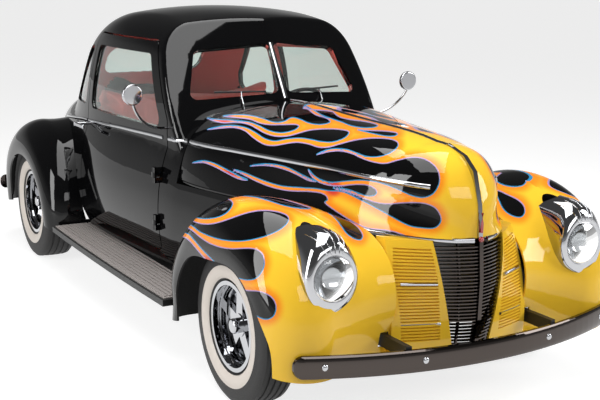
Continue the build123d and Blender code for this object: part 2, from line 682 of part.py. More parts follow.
# Springs: one leaf pack across the front, one along each side at the rear.
front_face = Plane((0, FRONT_AXLE_Y + 25, 0), x_dir=(1, 0, 0), z_dir=(0, -1, 0)) * make_face([
    ThreePointArc((-470, 292), (0, 322), (470, 292)), Line((470, 292), (470, 308)),
    ThreePointArc((-470, 308), (0, 345 - SEAT_GAP), (470, 308)), Line((-470, 292), (-470, 308)),
])
front_spring = extrude(front_face, 50) - Pos(0, FRONT_AXLE_Y, BEAM_Z) * Box(2000, 200, BEAM_H + 2 * SEAT_GAP)
SPRING_X = 452.0
rear_face = Plane((-SPRING_X - 25, 0, 0), x_dir=(0, 1, 0), z_dir=(1, 0, 0)) * make_face([
    ThreePointArc((790, 345), (REAR_AXLE_Y, 286), (1720, 345)), Line((1720, 345), (1720, 362)),
    ThreePointArc((790, 362), (REAR_AXLE_Y, 311.6), (1720, 362)), Line((790, 345), (790, 362)),
])
rear_spring = extrude(rear_face, 50)
for side in (-1, 1):
    for y in (800, 1710):
        frame_rails += Pos(side * (RAIL_X + SPRING_X + 25) / 2, y, 382.5) * Box(SPRING_X + 25 - RAIL_X, 26, 40)

# Running gear between the rails
ENGINE_LOW_Z = 392.0
engine_block = Pos(0, -1420, ENGINE_LOW_Z + 160) * Box(430, 620, 320) + Pos(0, -1420, 475) * Box(300, 660, 140)
engine_block += Pos(0, -1420, 730) * Box(240, 320, 120)
engine_block += [Pos(side * 170, -1420, 690) * Rot(0, side * 35, 0) * Box(150, 560, 130) for side in (-1, 1)]
engine_block += Pos(0, -1420, 842) * Cylinder(120, 120)
engine_block += Pos(0, -720, 262) * Box(220, 860, 116) + Pos(0, -1110, 330) * Box(260, 80, 200)
engine_block += Pos(0, -1250, 345 + RAIL_H + SEAT_GAP + 15) * Box(760, 70, 30)
radiator = Pos(0, -1955, 345 + 40 + SEAT_GAP + 170) * Box(480, 56, 340)

fuel_tank = Pos(0, 1655, 510 - SEAT_GAP - 75) * Box(560, 168, 150)

# Cabin
floor_t = 16.0
FLOOR = ((-569, FLOOR_Z), (600, FLOOR_Z), (870, 524), (1745, 510), (2040, 442))
floor_top = [(y, z + floor_t) for y, z in reversed(FLOOR)]
floor_face = Plane((-800, 0, 0), x_dir=(0, 1, 0), z_dir=(1, 0, 0)) * make_face(Polyline(*(list(FLOOR) + floor_top), close=True))
cabin_room = body_loft(TUB, WALL + SEAT_GAP, front=30 + SEAT_GAP, rear=60 + SEAT_GAP, drop=220)
floor_pan = extrude(floor_face, 1600) & cabin_room
floor_z = FLOOR[0][1] + floor_t + SEAT_GAP

cushion_face = Plane((-570, 0, 0), x_dir=(0, 1, 0), z_dir=(1, 0, 0)) * make_face(
    FilletPolyline((120, 500), (110, 640), (200, 690), (580, 660), (600, 500), radius=38, close=True)
)
seat_cushion = extrude(cushion_face, 1140)
riser = (FLOOR[2][1] - FLOOR[1][1]) / (FLOOR[2][0] - FLOOR[1][0])
base_back_z = floor_z + riser * (770 - FLOOR[1][0]) + 1
base_face = Plane((-510, 0, 0), x_dir=(0, 1, 0), z_dir=(1, 0, 0)) * make_face(Polyline(
    (170, floor_z), (FLOOR[1][0] - 2, floor_z), (770, base_back_z), (770, 560 - SEAT_GAP), (607, 560 - SEAT_GAP),
    (603, 500 - SEAT_GAP), (170, 500 - SEAT_GAP), close=True,
))
seat_base = extrude(base_face, 1020)
back_face = Plane((-570, 0, 0), x_dir=(0, 1, 0), z_dir=(1, 0, 0)) * make_face(
    FilletPolyline((607, 560), (590, 700), (672, 1150), (740, 1150), (800, 1090), (770, 560), radius=30, close=True)
)
seat_back = extrude(back_face, 1140)
seat_back &= greenhouse(ROOF_WALL + 20) + body_loft(TUB, WALL + 20)
shelf_face = Plane((-800, 0, 0), x_dir=(0, 1, 0), z_dir=(1, 0, 0)) * make_face(
    Polyline((886, 556), (900, 556), (920, 985), (1420, 985), (1420, 1000), (905, 1000), close=True)
)
rear_shelf = extrude(shelf_face, 1600) & cabin_room

dash_face = Plane((-700, 0, 0), x_dir=(0, 1, 0), z_dir=(1, 0, 0)) * make_face(
    FilletPolyline((-569, 1060), (-420, 1075), (-372, 1040), (-385, 930), (-430, 905), (-450, 1020), (-569, 1030),
                   radius=8, close=True)
)
dashboard = extrude(dash_face, 1400) & cabin_room

# Steering column and wheel
DRIVER_X = 345.0
COLUMN_FOOT = Vector(DRIVER_X, -565, 720)
COLUMN_HEAD = Vector(DRIVER_X, -95, 950)
COLUMN_R = 19.0
column_axis = (COLUMN_HEAD - COLUMN_FOOT).normalized()
column_plane = Plane(COLUMN_FOOT, x_dir=(1, 0, 0), z_dir=column_axis)
column_length = (COLUMN_HEAD - COLUMN_FOOT).length
CENTRE_MIN = (Align.CENTER, Align.CENTER, Align.MIN)
steering_column = column_plane * (
    Cylinder(COLUMN_R, column_length, align=CENTRE_MIN)
    + Pos(0, 0, column_length) * Cylinder(9, 30, align=CENTRE_MIN)
)
steering_column -= Pos(0, BODY_FRONT_Y - 500 + 30 + SEAT_GAP, 700) * Box(2000, 1000, 1000)
wheel_plane = Plane(COLUMN_HEAD + column_axis * 1.0, x_dir=(1, 0, 0), z_dir=column_axis)
STEER_R = 205.0
hand_wheel = Pos(0, 0, 26) * Torus(STEER_R, 11) + Cylinder(32, 40, align=CENTRE_MIN)
hand_wheel += [
    Rot(0, 0, 90 + 120 * i) * Pos(STEER_R / 2, 0, 24) * Box(STEER_R, 16, 8) for i in range(3)
]
hand_wheel -= Cylinder(9 + RUN_CLEARANCE, 31, align=CENTRE_MIN)
steering_wheel = wheel_plane * hand_wheel

# Small fittings
TAIL_LAMP = Vector(-690, 1815, 628)
tail_lamp_right = Pos(*TAIL_LAMP) * Rot(90, 0, 0) * Cylinder(44, 120)
tail_dome = Pos(TAIL_LAMP.X, TAIL_LAMP.Y + 60 - 150, TAIL_LAMP.Z) * Sphere(150)
tail_lamp_right &= tail_dome
tail_hole = Pos(*TAIL_LAMP) * Rot(90, 0, 0) * Cylinder(44 + SEAT_GAP, 300)
rear_fender_right -= tail_hole

HINGE_X = 648.0 + HINGE_OUT
HINGE_Y = DOOR_FRONT_Y - PANEL_GAP / 2
MIRROR_FOOT = Vector(-596, DOOR_FRONT_Y + 34, 1020)
MIRROR_BEND = Vector(-738, -455, 1062)
MIRROR_TOP = Vector(-812, -498, 1168)
MIRROR_R = 52.0
HANDLE_Y = 590.0
HANDLE_Z = 925.0
arm_path = ThreePointArc(MIRROR_FOOT, MIRROR_BEND, MIRROR_TOP)
mirror_arm = sweep(Plane(arm_path @ 0, z_dir=arm_path % 0) * Circle(7), path=arm_path)
mirror_head = Pos(MIRROR_TOP.X, MIRROR_TOP.Y, MIRROR_TOP.Z + MIRROR_R - 14) * Rot(90, 0, 0) * Cylinder(MIRROR_R, 16)
mirror_head = fillet(mirror_head.edges().sort_by(Axis.Y)[:1], 7)
mirror_right = largest((mirror_arm + mirror_head) - door_right)
handle_right = Pos(-700, HANDLE_Y, HANDLE_Z) * Rot(0, 90, 0) * Cylinder(11, 120)
handle_bar = Pos(-752, HANDLE_Y - 62, HANDLE_Z) * Box(15, 160, 24)
handle_right = (handle_right + fillet(handle_bar.edges(), 6)) - door_right
handle_right = max(handle_right.solids(), key=lambda s: -s.center().X)

TRIM_W = 20.0
TRIM_LINE = ((-1985, 1040), (-1985, 1118), (-2105, 1084), (-2172, 1030), (-2212, 902), (-2226, 766), (-2150, 766))
trim_face = Plane((-TRIM_W / 2, 0, 0), x_dir=(0, 1, 0), z_dir=(1, 0, 0)) * make_face(Polyline(*TRIM_LINE, close=True))
hood_trim = largest(extrude(trim_face, TRIM_W) - hood_loft())

PIPE_R = 24.0
PIPE_X = 200.0
PIPE_Z = 196.0
pipe_top = ENGINE_LOW_Z - SEAT_GAP
exhaust_right = Pos(-PIPE_X, 500, PIPE_Z) * Rot(90, 0, 0) * Cylinder(PIPE_R, 3360)
exhaust_right += Pos(-PIPE_X, -1180 + PIPE_R, (PIPE_Z + pipe_top) / 2) * Cylinder(PIPE_R, pipe_top - PIPE_Z)
exhaust_right += Pos(-PIPE_X, 1530, (PIPE_Z + 432 - SEAT_GAP) / 2) * Box(14, 30, 432 - SEAT_GAP - PIPE_Z)


# Door hinges stand outside the body: a pin with two barrels on the cowl, one barrel on the door between them.
HINGE_Z = (545.0, 790.0)
HINGE_ROOT_X = 590.0
HINGE_R = 11.0
HINGE_PIN_R = 5.0
BARREL_H = 26.0


def barrel(z, height, radius):
    return Pos(-HINGE_X, HINGE_Y, z) * Cylinder(radius, height)


for z in HINGE_Z:
    fixed = barrel(z, 3 * BARREL_H, HINGE_PIN_R)
    for up in (-1, 1):
        level = z + up * (BARREL_H + 0.5)
        fixed += barrel(level, BARREL_H, HINGE_R)
        fixed += Pos(-(HINGE_X + 8 + HINGE_ROOT_X) / 2, HINGE_Y - 16, level) * Box(HINGE_X + 8 - HINGE_ROOT_X, 12, BARREL_H)
        fixed += Pos(-HINGE_X + 2, HINGE_Y - 8, level) * Box(14, 16, BARREL_H)
    fixed -= hollow
    body_shell += both_sides(largest(fixed))
    leaf = barrel(z, BARREL_H, HINGE_R)
    leaf += Pos(-(HINGE_X + 8 + HINGE_ROOT_X) / 2, HINGE_Y + 16, z) * Box(HINGE_X + 8 - HINGE_ROOT_X, 12, BARREL_H)
    leaf += Pos(-HINGE_X + 2, HINGE_Y + 8, z) * Box(14, 16, BARREL_H)
    leaf -= barrel(z, BARREL_H + 10, HINGE_PIN_R + RUN_CLEARANCE)
    door_right += leaf - hollow
door_right = largest(door_right)


def pair(solid):
    return Compound(both_sides(solid))


nodes = {
    "body_shell": body_shell,
    "windshield_glass": Compound(shield_glass),
    "quarter_glass": pair(quarter_glass),
    "rear_glass": rear_glass,
    "hood": hood,
    "hood_trim": hood_trim,
    "deck_lid": deck_lid,
    "front_fenders": pair(front_fender_right),
    "rear_fenders": pair(rear_fender_right),
    "running_boards": pair(running_board_right),
    "board_mats": pair(board_mat_right),
    "nose_panels": pair(nose_panel_right),
    "grille": grille,
    "front_bumper": front_bar,
    "rear_bumper": rear_bar,
    "bumper_irons": Compound([front_iron, rear_iron]),
    "headlamp_rims": pair(lamp_rim_right),
    "headlamp_lenses": pair(lamp_lens_right),
    "tail_lamps": pair(tail_lamp_right),
    "frame_rails": frame_rails,
    "floor_pan": floor_pan,
    "front_axle": front_axle,
    "rear_axle": rear_axle,
    "leaf_springs": Compound([front_spring] + both_sides(rear_spring)),
    "engine_block": engine_block,
    "radiator": radiator,
    "exhaust_pipes": pair(exhaust_right),
    "fuel_tank": fuel_tank,
    "dashboard": dashboard,
    "seat_base": seat_base,
    "seat_cushion": seat_cushion,
    "seat_back": seat_back,
    "rear_shelf": rear_shelf,
    "steering_column": steering_column,
    "steering_wheel": steering_wheel,
    "knuckle_left": knuckle_left,
    "knuckle_right": knuckle_left.mirror(Plane.YZ),
}
for name, solid in (
    ("door", door_right), ("door_glass", door_glass_right), ("door_mirror", mirror_right), ("door_handle", handle_right),
):
    nodes[name + "_right"] = solid
    nodes[name + "_left"] = solid.mirror(Plane.YZ)
for values in WHEELS:
    w = row(WHEEL_COLUMNS, values)
    place = Pos(w["side"] * w["x"], w["y"], w["radius"])
    one_rim = rim(w["width"])
    if w["side"] < 0:
        one_rim = one_rim.mirror(Plane.YZ)
    nodes["tyre_" + w["name"]] = place * tyre(w["radius"], w["width"])
    nodes["rim_" + w["name"]] = place * one_rim

os.makedirs("parts", exist_ok=True)
for name, solid in nodes.items():
    export_step(solid, f"parts/{name}.step")
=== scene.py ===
import json
import math

import bmesh
import bpy
import numpy as np
from mathutils import Matrix, Vector
from mathutils.bvhtree import BVHTree


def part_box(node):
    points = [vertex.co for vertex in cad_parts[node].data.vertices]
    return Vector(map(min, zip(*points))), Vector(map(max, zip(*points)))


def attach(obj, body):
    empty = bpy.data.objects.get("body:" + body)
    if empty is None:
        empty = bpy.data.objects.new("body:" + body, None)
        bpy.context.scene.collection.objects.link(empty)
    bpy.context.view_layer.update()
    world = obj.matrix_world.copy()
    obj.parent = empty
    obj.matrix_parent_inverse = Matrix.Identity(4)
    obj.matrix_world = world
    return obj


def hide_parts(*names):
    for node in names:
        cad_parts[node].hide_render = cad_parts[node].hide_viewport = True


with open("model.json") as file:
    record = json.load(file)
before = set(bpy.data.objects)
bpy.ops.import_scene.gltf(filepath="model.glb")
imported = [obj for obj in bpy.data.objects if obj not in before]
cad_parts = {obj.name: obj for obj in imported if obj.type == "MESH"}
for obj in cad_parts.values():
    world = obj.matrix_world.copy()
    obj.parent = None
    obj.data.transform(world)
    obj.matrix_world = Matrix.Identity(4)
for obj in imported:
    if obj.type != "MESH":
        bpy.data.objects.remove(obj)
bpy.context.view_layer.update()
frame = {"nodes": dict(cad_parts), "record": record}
scene = bpy.context.scene
scene.view_settings.view_transform = "Standard"
nodes = frame["nodes"]
print("frame loaded:", len(nodes), "nodes")


# colours and materials

def hexLinear(text):
    parts = [int(text[i:i + 2], 16) / 255 for i in (1, 3, 5)]
    return [c / 12.92 if c <= 0.04045 else ((c + 0.055) / 1.055) ** 2.4 for c in parts] + [1.0]


def addNode(tree, kind, settings=None, values=None, links=None):
    node = tree.nodes.new(kind)
    for key, value in (settings or {}).items():
        setattr(node, key, value)
    for key, value in (values or {}).items():
        node.inputs[key].default_value = value
    for key, source in (links or {}).items():
        tree.links.new(source, node.inputs[key])
    return node


def newMaterial(name, colour, values):
    material = bpy.data.materials.new(name)
    material.use_nodes = True
    shader = material.node_tree.nodes["Principled BSDF"]
    shader.inputs["Base Color"].default_value = hexLinear(colour)
    for key, value in values.items():
        shader.inputs[key].default_value = value
    material.diffuse_color = hexLinear(colour)
    return material, material.node_tree, shader


def roughGrain(tree, shader, grainMm, low, high, bump=0.0, bumpMm=0.2, stretch=(1, 1, 1)):
    # noise at a real grain size drives the roughness, and a little bump
    place = addNode(tree, "ShaderNodeTexCoord")
    turned = addNode(tree, "ShaderNodeMapping", values={"Scale": stretch},
                     links={"Vector": place.outputs["Object"]})
    noise = addNode(tree, "ShaderNodeTexNoise", values={"Scale": 1000 / grainMm, "Detail": 3.0},
                    links={"Vector": turned.outputs["Vector"]})
    spread = addNode(tree, "ShaderNodeMapRange", links={"Value": noise.outputs["Fac"]}, values={
        "From Min": 0.3, "From Max": 0.7, "To Min": low, "To Max": high})
    tree.links.new(spread.outputs["Result"], shader.inputs["Roughness"])
    if bump:
        raised = addNode(tree, "ShaderNodeBump", values={"Strength": bump, "Distance": bumpMm / 1000},
                         links={"Height": noise.outputs["Fac"]})
        tree.links.new(raised.outputs["Normal"], shader.inputs["Normal"])


def grainedMaterial(name, colour, values, *grain):
    # grain: size in mm, lowest and highest roughness, then bump, its height in mm and its stretch
    material, tree, shader = newMaterial(name, colour, values)
    roughGrain(tree, shader, *grain)
    return material


paintLook = {
    "black": "#070708", "yellow": "#F3C334", "orange": "#F08A1E", "red": "#C8402E", "blue": "#2C86B4",
    "lavender": "#9C8AB8", "coatWeight": 0.85, "coatIor": 1.42, "coatRough": 0.03, "peelMm": 9.0,
    "peelRough": (0.42, 0.50),
    # colour made, colour under, colour over, what drives the blend (pixels for flameEdge), its start and end
    "layers": (("flame", "orange", "yellow", "flameEdge", 0.5, 11.0),
               ("flame", "flame", "red", "flameTip", 0.25, 0.7),
               ("stripe", "lavender", "blue", "flameSide", -0.3, 0.3),
               ("panel", "black", "stripe", "flameEdge", -0.75, -0.45),
               ("panel", "panel", "flame", "flameEdge", 0.35, 0.65)),
}


def enamel(name, colour):
    # sprayed enamel under clear coat: deep gloss with the faintest orange peel
    material, tree, shader = newMaterial(name, colour, {
        "Specular IOR Level": 0.0, "Coat Weight": paintLook["coatWeight"], "Coat IOR": paintLook["coatIor"],
        "Coat Roughness": paintLook["coatRough"]})
    roughGrain(tree, shader, paintLook["peelMm"], *paintLook["peelRough"])
    return material, tree, shader


def flameEnamel():
    # flames laid over black: yellow fading to orange at each edge, red tips, a blue and lavender pinstripe
    material, tree, shader = enamel("flameEnamel", paintLook["yellow"])
    made = {}
    for result, under, over, driver, low, high in paintLook["layers"]:
        source = addNode(tree, "ShaderNodeAttribute", {"attribute_name": driver})
        blend = addNode(tree, "ShaderNodeMapRange", {"interpolation_type": "SMOOTHSTEP"},
                        {"From Min": low, "From Max": high}, {"Value": source.outputs["Fac"]})
        layer = addNode(tree, "ShaderNodeMix", {"data_type": "RGBA"}, links={0: blend.outputs["Result"]})
        for socket, colour in ((layer.inputs[6], under), (layer.inputs[7], over)):
            if colour in made:
                tree.links.new(made[colour], socket)
            else:
                socket.default_value = hexLinear(paintLook[colour])
        made[result] = layer.outputs[2]
    tree.links.new(made["panel"], shader.inputs["Base Color"])
    return material


blackEnamel = enamel("glossBlackEnamel", paintLook["black"])[0]
yellowEnamel = enamel("yellowEnamel", paintLook["yellow"])[0]
flamePaint = flameEnamel()
# plated and polished, mirror bright
chrome = grainedMaterial("polishedChrome", "#B6B7BA", {"Metallic": 1.0}, 60.0, 0.02, 0.07)
# plating darkened into a dark mirror, a painted dark reflection of a dim room, for the bumpers and the grille
paintedDarkReflectionChrome = grainedMaterial("paintedDarkReflectionChrome", "#4B4542", {"Metallic": 1.0}, 60.0, 0.03, 0.08)
# rolled window glass, clear with a breath of green
cleanGlass = newMaterial("plateGlass", "#EAF2EE", {
    "Transmission Weight": 1.0, "Roughness": 0.0, "IOR": 1.45})[0]
# pressed lamp glass, clear and a little soft
lampGlass = newMaterial("pressedLampGlass", "#F6F8F8", {
    "Transmission Weight": 1.0, "Roughness": 0.02, "IOR": 1.45})[0]
# moulded red plastic under a hard gloss
redLens = grainedMaterial("redLensPlastic", "#8E0C0A", {"Coat Weight": 0.6, "IOR": 1.49},
                          14.0, 0.08, 0.16, 0.1, 0.6)
# moulded rubber, dull and a little dusty
tyreRubber = grainedMaterial("blackTyreRubber", "#1B1A1A", {}, 3.0, 0.55, 0.75, 0.2, 0.3)
# buffed white rubber, soft sheen
whiteRubber = grainedMaterial("whitewallRubber", "#D6CDC4", {}, 5.0, 0.42, 0.58, 0.1, 0.2)
# moulded mat rubber, its ribs worn a little shiny
matRubber = grainedMaterial("greyMatRubber", "#8B8582", {}, 4.0, 0.45, 0.62, 0.15, 0.2)
# brushed chassis paint, half gloss
frameBlack = grainedMaterial("satinFramePaint", "#161616", {}, 2.0, 0.38, 0.55, 0.1, 0.1)
# sprayed undercoat, rough, takes no light
undercoat = grainedMaterial("blackUndercoat", "#0C0C0C", {}, 3.0, 0.7, 0.9, 0.4, 0.6)
# sand-cast iron, dark and grainy
castIron = grainedMaterial("castIron", "#3A3836", {"Metallic": 0.8}, 2.5, 0.5, 0.7, 0.4, 0.4)
# bare aluminium, its grain drawn out along the fins
rawAluminium = grainedMaterial("finnedAluminium", "#8E9092", {"Metallic": 1.0},
                               6.0, 0.35, 0.5, 0.0, 0.2, (1, 1, 12))
# embossed vinyl, a fine grain with soft light on it
redVinyl = grainedMaterial("coralVinyl", "#E8665C", {"Sheen Weight": 0.15}, 2.2, 0.42, 0.58, 0.25, 0.25)
# moulded plastic, even and half gloss
blackPlastic = grainedMaterial("mouldedBlackPlastic", "#101011", {}, 1.5, 0.3, 0.42, 0.1, 0.08)
# fired badge enamel, glassy
redEnamel = grainedMaterial("redBadgeEnamel", "#A81C1E", {"Coat Weight": 1.0}, 20.0, 0.1, 0.16)
print("materials ready")


# the camera of the photograph, also used to lay the flames on the panels

viewPoint = {"place": (-2.799, -5.760, 1.840), "yaw": 29.1, "pitch": 11.7, "roll": 0.4, "pixels": 1141.0,
             "frame": (600, 400), "sensor": 36.0}


def viewAxes():
    yaw, pitch, roll = (math.radians(viewPoint[k]) for k in ("yaw", "pitch", "roll"))
    ahead = Vector((math.cos(pitch) * math.sin(yaw), math.cos(pitch) * math.cos(yaw), -math.sin(pitch)))
    right = Vector((math.cos(yaw), -math.sin(yaw), 0))
    up = right.cross(ahead)
    tilt, lean = math.cos(roll), math.sin(roll)
    return tilt * right + lean * up, tilt * up - lean * right, ahead


viewRight, viewUp, viewAhead = viewAxes()
cameraData = bpy.data.cameras.new("photoView")
cameraData.sensor_width = viewPoint["sensor"]
cameraData.lens = viewPoint["pixels"] * viewPoint["sensor"] / viewPoint["frame"][0]
cameraObject = bpy.data.objects.new("photoView", cameraData)
scene.collection.objects.link(cameraObject)
cameraObject.matrix_world = Matrix.Translation(viewPoint["place"]) @ Matrix(
    (viewRight, viewUp, -viewAhead)).transposed().to_4x4()
scene.camera = cameraObject


def toPicture(points):
    away = np.asarray(points, float) - np.array(viewPoint["place"])
    depth = away @ np.array(viewAhead)
    across = away @ np.array(viewRight)
    upward = away @ np.array(viewUp)
    width, height = viewPoint["frame"]
    scale = viewPoint["pixels"] / depth
    return np.stack((width / 2 + scale * across, height / 2 - scale * upward), 1)


# copies of CAD nodes, merged so that they shade smoothly, and skins built from rows of points

meshLook = {"merge": 2e-5, "sharp": 28, "rounds": 9}


def mergedMesh(node):
    mesh = nodes[node].data.copy()
    for name in [a.name for a in mesh.attributes if a.name == "custom_normal"]:
        mesh.attributes.remove(mesh.attributes[name])
    work = bmesh.new()
    work.from_mesh(mesh)
    bmesh.ops.remove_doubles(work, verts=work.verts, dist=meshLook["merge"])
    for face in work.faces:
        face.smooth = True
    work.to_mesh(mesh)
    work.free()
    mesh.set_sharp_from_angle(angle=math.radians(meshLook["sharp"]))
    return mesh


def refineMesh(mesh, longest, wanted):
    # cuts long edges where wanted(centre, normal) is true, and keeps the smooth normals
    kept = np.zeros(len(mesh.loops) * 3, np.float32)
    mesh.corner_normals.foreach_get("vector", kept)
    mesh.attributes.new("keptNormal", "FLOAT_VECTOR", "CORNER").data.foreach_set("vector", kept)
    work = bmesh.new()
    work.from_mesh(mesh)
    for _ in range(meshLook["rounds"]):
        chosen = {e for f in work.faces if wanted(f.calc_center_median(), f.normal) for e in f.edges
                  if e.calc_length() > longest}
        if not chosen:
            break
        bmesh.ops.subdivide_edges(work, edges=list(chosen), cuts=1)
        bmesh.ops.triangulate(work, faces=[f for f in work.faces if len(f.verts) > 3])
    work.to_mesh(mesh)
    work.free()
    kept = np.zeros(len(mesh.loops) * 3, np.float32)
    mesh.attributes["keptNormal"].data.foreach_get("vector", kept)
    mesh.attributes.remove(mesh.attributes["keptNormal"])
    kept = kept.reshape(-1, 3)
    kept /= np.maximum(np.linalg.norm(kept, axis=1, keepdims=True), 1e-9)
    mesh.normals_split_custom_set(kept.tolist())


def rowFaces(rows, count, closed=True):
    # quads between neighbouring rows of count points
    faces = []
    for row in range(0, (rows - 1) * count, count):
        for k in range(count if closed else count - 1):
            beside = (k + 1) % count
            faces.append((row + k, row + beside, row + count + beside, row + count + k))
    return faces


def skinMesh(name, vertices, faces, facing=None, merge=0.0, wall=0.0, sharp=None):
    # a smooth mesh that faces one way, with a wall where a thickness is given
    mesh = bpy.data.meshes.new(name)
    mesh.from_pydata(vertices, [], faces)
    work = bmesh.new()
    work.from_mesh(mesh)
    if merge:
        bmesh.ops.remove_doubles(work, verts=work.verts, dist=merge)
    bmesh.ops.recalc_face_normals(work, faces=work.faces)
    if facing and sum(f.normal.dot(facing) * f.calc_area() for f in work.faces) < 0:
        bmesh.ops.reverse_faces(work, faces=work.faces)
    if wall:
        bmesh.ops.solidify(work, geom=work.faces, thickness=wall)
    for face in work.faces:
        face.smooth = True
    work.to_mesh(mesh)
    work.free()
    if sharp:
        mesh.set_sharp_from_angle(angle=math.radians(sharp))
    return mesh


def addPiece(name, mesh, body, materials, replaced=()):
    mesh.materials.clear()
    for material in materials:
        mesh.materials.append(material)
    piece = bpy.data.objects.new(name, mesh)
    scene.collection.objects.link(piece)
    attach(piece, body)
    if replaced:
        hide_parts(*replaced)
    return piece


bodyOfNode = {n: b for b, members in frame["record"]["behaviour"]["bodies"].items() for n in members}


def faceArrays(mesh):
    centres = np.zeros(len(mesh.polygons) * 3, np.float32)
    normals = np.zeros(len(mesh.polygons) * 3, np.float32)
    mesh.polygons.foreach_get("center", centres)
    mesh.polygons.foreach_get("normal", normals)
    return centres.reshape(-1, 3), normals.reshape(-1, 3)


def paintFaces(mesh, choice):
    mesh.polygons.foreach_set("material_index", np.asarray(choice, np.int32))


# flames: outlines drawn over the enlarged picture, whose zoom and corner stand in "view"

flameLook = {"reach": 40.0, "tipReach": 15.0}  # pixels
hoodFlames = {
    "view": (6, 150, 110),
    "flames": [
        [(1060, -60), (1100, 10), (1140, 42), (1210, 58), (1290, 68), (1350, 82), (1366, 94), (1340, 104),
         (1280, 106), (1210, 95), (1150, 72), (1090, 52), (1030, 30), (980, 0), (930, -25), (990, 26),
         (1050, 45), (1081, 66), (1065, 80), (1010, 87), (950, 77), (900, 55), (850, 45), (800, 70),
         (740, 73), (680, 52), (600, 33), (520, 28), (440, 36), (520, 45), (600, 55), (660, 78), (720, 87),
         (800, 87), (870, 86), (893, 97), (870, 118), (820, 133), (770, 136), (710, 122), (650, 92),
         (590, 72), (500, 62), (420, 58), (345, 50), (430, 75), (520, 73), (590, 85), (640, 110),
         (690, 138), (750, 156), (820, 156), (880, 142), (950, 122), (1040, 113), (1130, 115), (1185, 125),
         (1193, 140), (1165, 168), (1100, 191), (1030, 190), (970, 178), (900, 168), (820, 174), (750, 186),
         (690, 172), (640, 140), (580, 108), (510, 94), (430, 97), (345, 116), (440, 107), (510, 105),
         (570, 124), (620, 165), (680, 203), (740, 213), (810, 202), (880, 193), (950, 203), (1010, 222),
         (1070, 222), (1140, 203), (1230, 180), (1330, 168), (1430, 172), (1480, 188), (1489, 210),
         (1470, 238), (1430, 263), (1370, 280), (1300, 279), (1240, 258), (1180, 237), (1110, 232),
         (1050, 243), (1000, 267), (1070, 250), (1140, 245), (1210, 260), (1270, 288), (1340, 311),
         (1410, 320), (1480, 302), (1560, 285), (1630, 288), (1690, 318), (1727, 362), (1738, 410),
         (1728, 460), (1695, 505), (1640, 525), (1570, 513), (1490, 478), (1410, 446), (1330, 427),
         (1250, 421), (1170, 427), (1090, 434), (1030, 420), (985, 393), (950, 355), (970, 397),
         (1010, 430), (1070, 450), (1140, 454), (1220, 447), (1290, 448), (1340, 465), (1361, 490),
         (1345, 513), (1300, 515), (1240, 495), (1180, 475), (1100, 469), (1160, 482), (1220, 502),
         (1290, 532), (1360, 555), (1430, 563), (1510, 557), (1590, 555), (1660, 563), (1715, 590),
         (1745, 640), (1740, 680), (1705, 708), (1640, 708), (1545, 690), (1400, 612), (1265, 540),
         (1160, 492), (1070, 484), (1000, 472), (900, 465), (800, 457), (720, 437), (640, 407), (560, 373),
         (495, 355), (550, 382), (620, 418), (700, 452), (790, 477), (870, 486), (950, 488), (1020, 496),
         (1058, 515), (1066, 540), (1062, 568), (1280, 700), (1550, 760), (2200, 1100), (3200, 1100),
         (3200, -400)],
        [(255, 317), (320, 304), (390, 322), (460, 357), (530, 394), (585, 420), (530, 412), (450, 372),
         (385, 338), (320, 315)],
        [(600, 336), (680, 323), (760, 328), (830, 347), (900, 382), (960, 412), (998, 429), (950, 422),
         (880, 386), (820, 360), (750, 340), (680, 332)],
    ],
    "drops": [
        [(1245, 118), (1320, 122), (1410, 126), (1470, 134), (1485, 144), (1465, 156), (1420, 156),
         (1360, 146), (1300, 132)],
    ],
    "tips": [(440, 36), (345, 50), (345, 116), (1000, 267), (950, 355), (1100, 469), (495, 355), (255, 317),
             (600, 336)],
}
fenderFlames = {
    "view": (8, 150, 180),
    "flames": [
        [(300, 195), (420, 100), (560, 40), (900, 0), (2200, 0), (4200, 300), (4200, 2400), (900, 2400),
         (800, 1300), (760, 1180), (700, 1000), (640, 900), (560, 790), (500, 715), (455, 672), (520, 735),
         (600, 830), (680, 925), (760, 1015), (830, 1075), (900, 1110), (950, 1112), (990, 1085),
         (1008, 1035), (1003, 985), (975, 940), (920, 905), (850, 887), (770, 882), (690, 850), (610, 798),
         (530, 730), (460, 652), (390, 572), (330, 500), (290, 465), (250, 453), (210, 468), (170, 515),
         (138, 558), (165, 492), (205, 438), (255, 421), (305, 432), (355, 483), (415, 553), (495, 635),
         (575, 708), (655, 765), (730, 792), (795, 800), (850, 785), (890, 742), (912, 690), (914, 635),
         (898, 590), (862, 560), (810, 546), (740, 546), (650, 549), (560, 536), (470, 502), (400, 455),
         (340, 405), (300, 382), (265, 376), (225, 388), (180, 432), (140, 500), (112, 540), (145, 455),
         (195, 388), (245, 350), (290, 348), (335, 365), (390, 408), (450, 438), (540, 470), (640, 487),
         (740, 488), (840, 472), (930, 447), (1020, 408), (1080, 365), (1108, 325), (1103, 290),
         (1060, 265), (990, 248), (910, 243), (830, 250), (740, 273), (640, 308), (550, 338), (470, 352),
         (400, 347), (340, 327), (290, 303), (250, 303), (205, 335), (150, 405), (125, 432), (170, 355),
         (220, 297), (270, 271), (320, 283), (380, 303), (450, 310), (530, 300), (600, 272), (645, 228),
         (662, 185), (640, 158), (600, 149), (540, 154), (450, 173), (380, 203), (330, 235), (270, 248),
         (205, 278), (265, 232), (340, 193), (430, 160), (530, 136), (640, 124), (740, 126), (850, 138),
         (950, 166), (1050, 198), (1150, 220), (1240, 230), (1287, 224), (1210, 196), (1110, 165),
         (1010, 132), (920, 107), (820, 97), (720, 97), (620, 104), (520, 122), (420, 155), (340, 190)],
    ],
    "drops": [
        [(1413, 247), (1480, 280), (1573, 313), (1653, 367), (1700, 433), (1687, 477), (1633, 469),
         (1573, 427), (1533, 373), (1487, 313)],
    ],
    "tips": [(300, 195), (205, 278), (125, 432), (112, 540), (138, 558), (455, 672)],
}
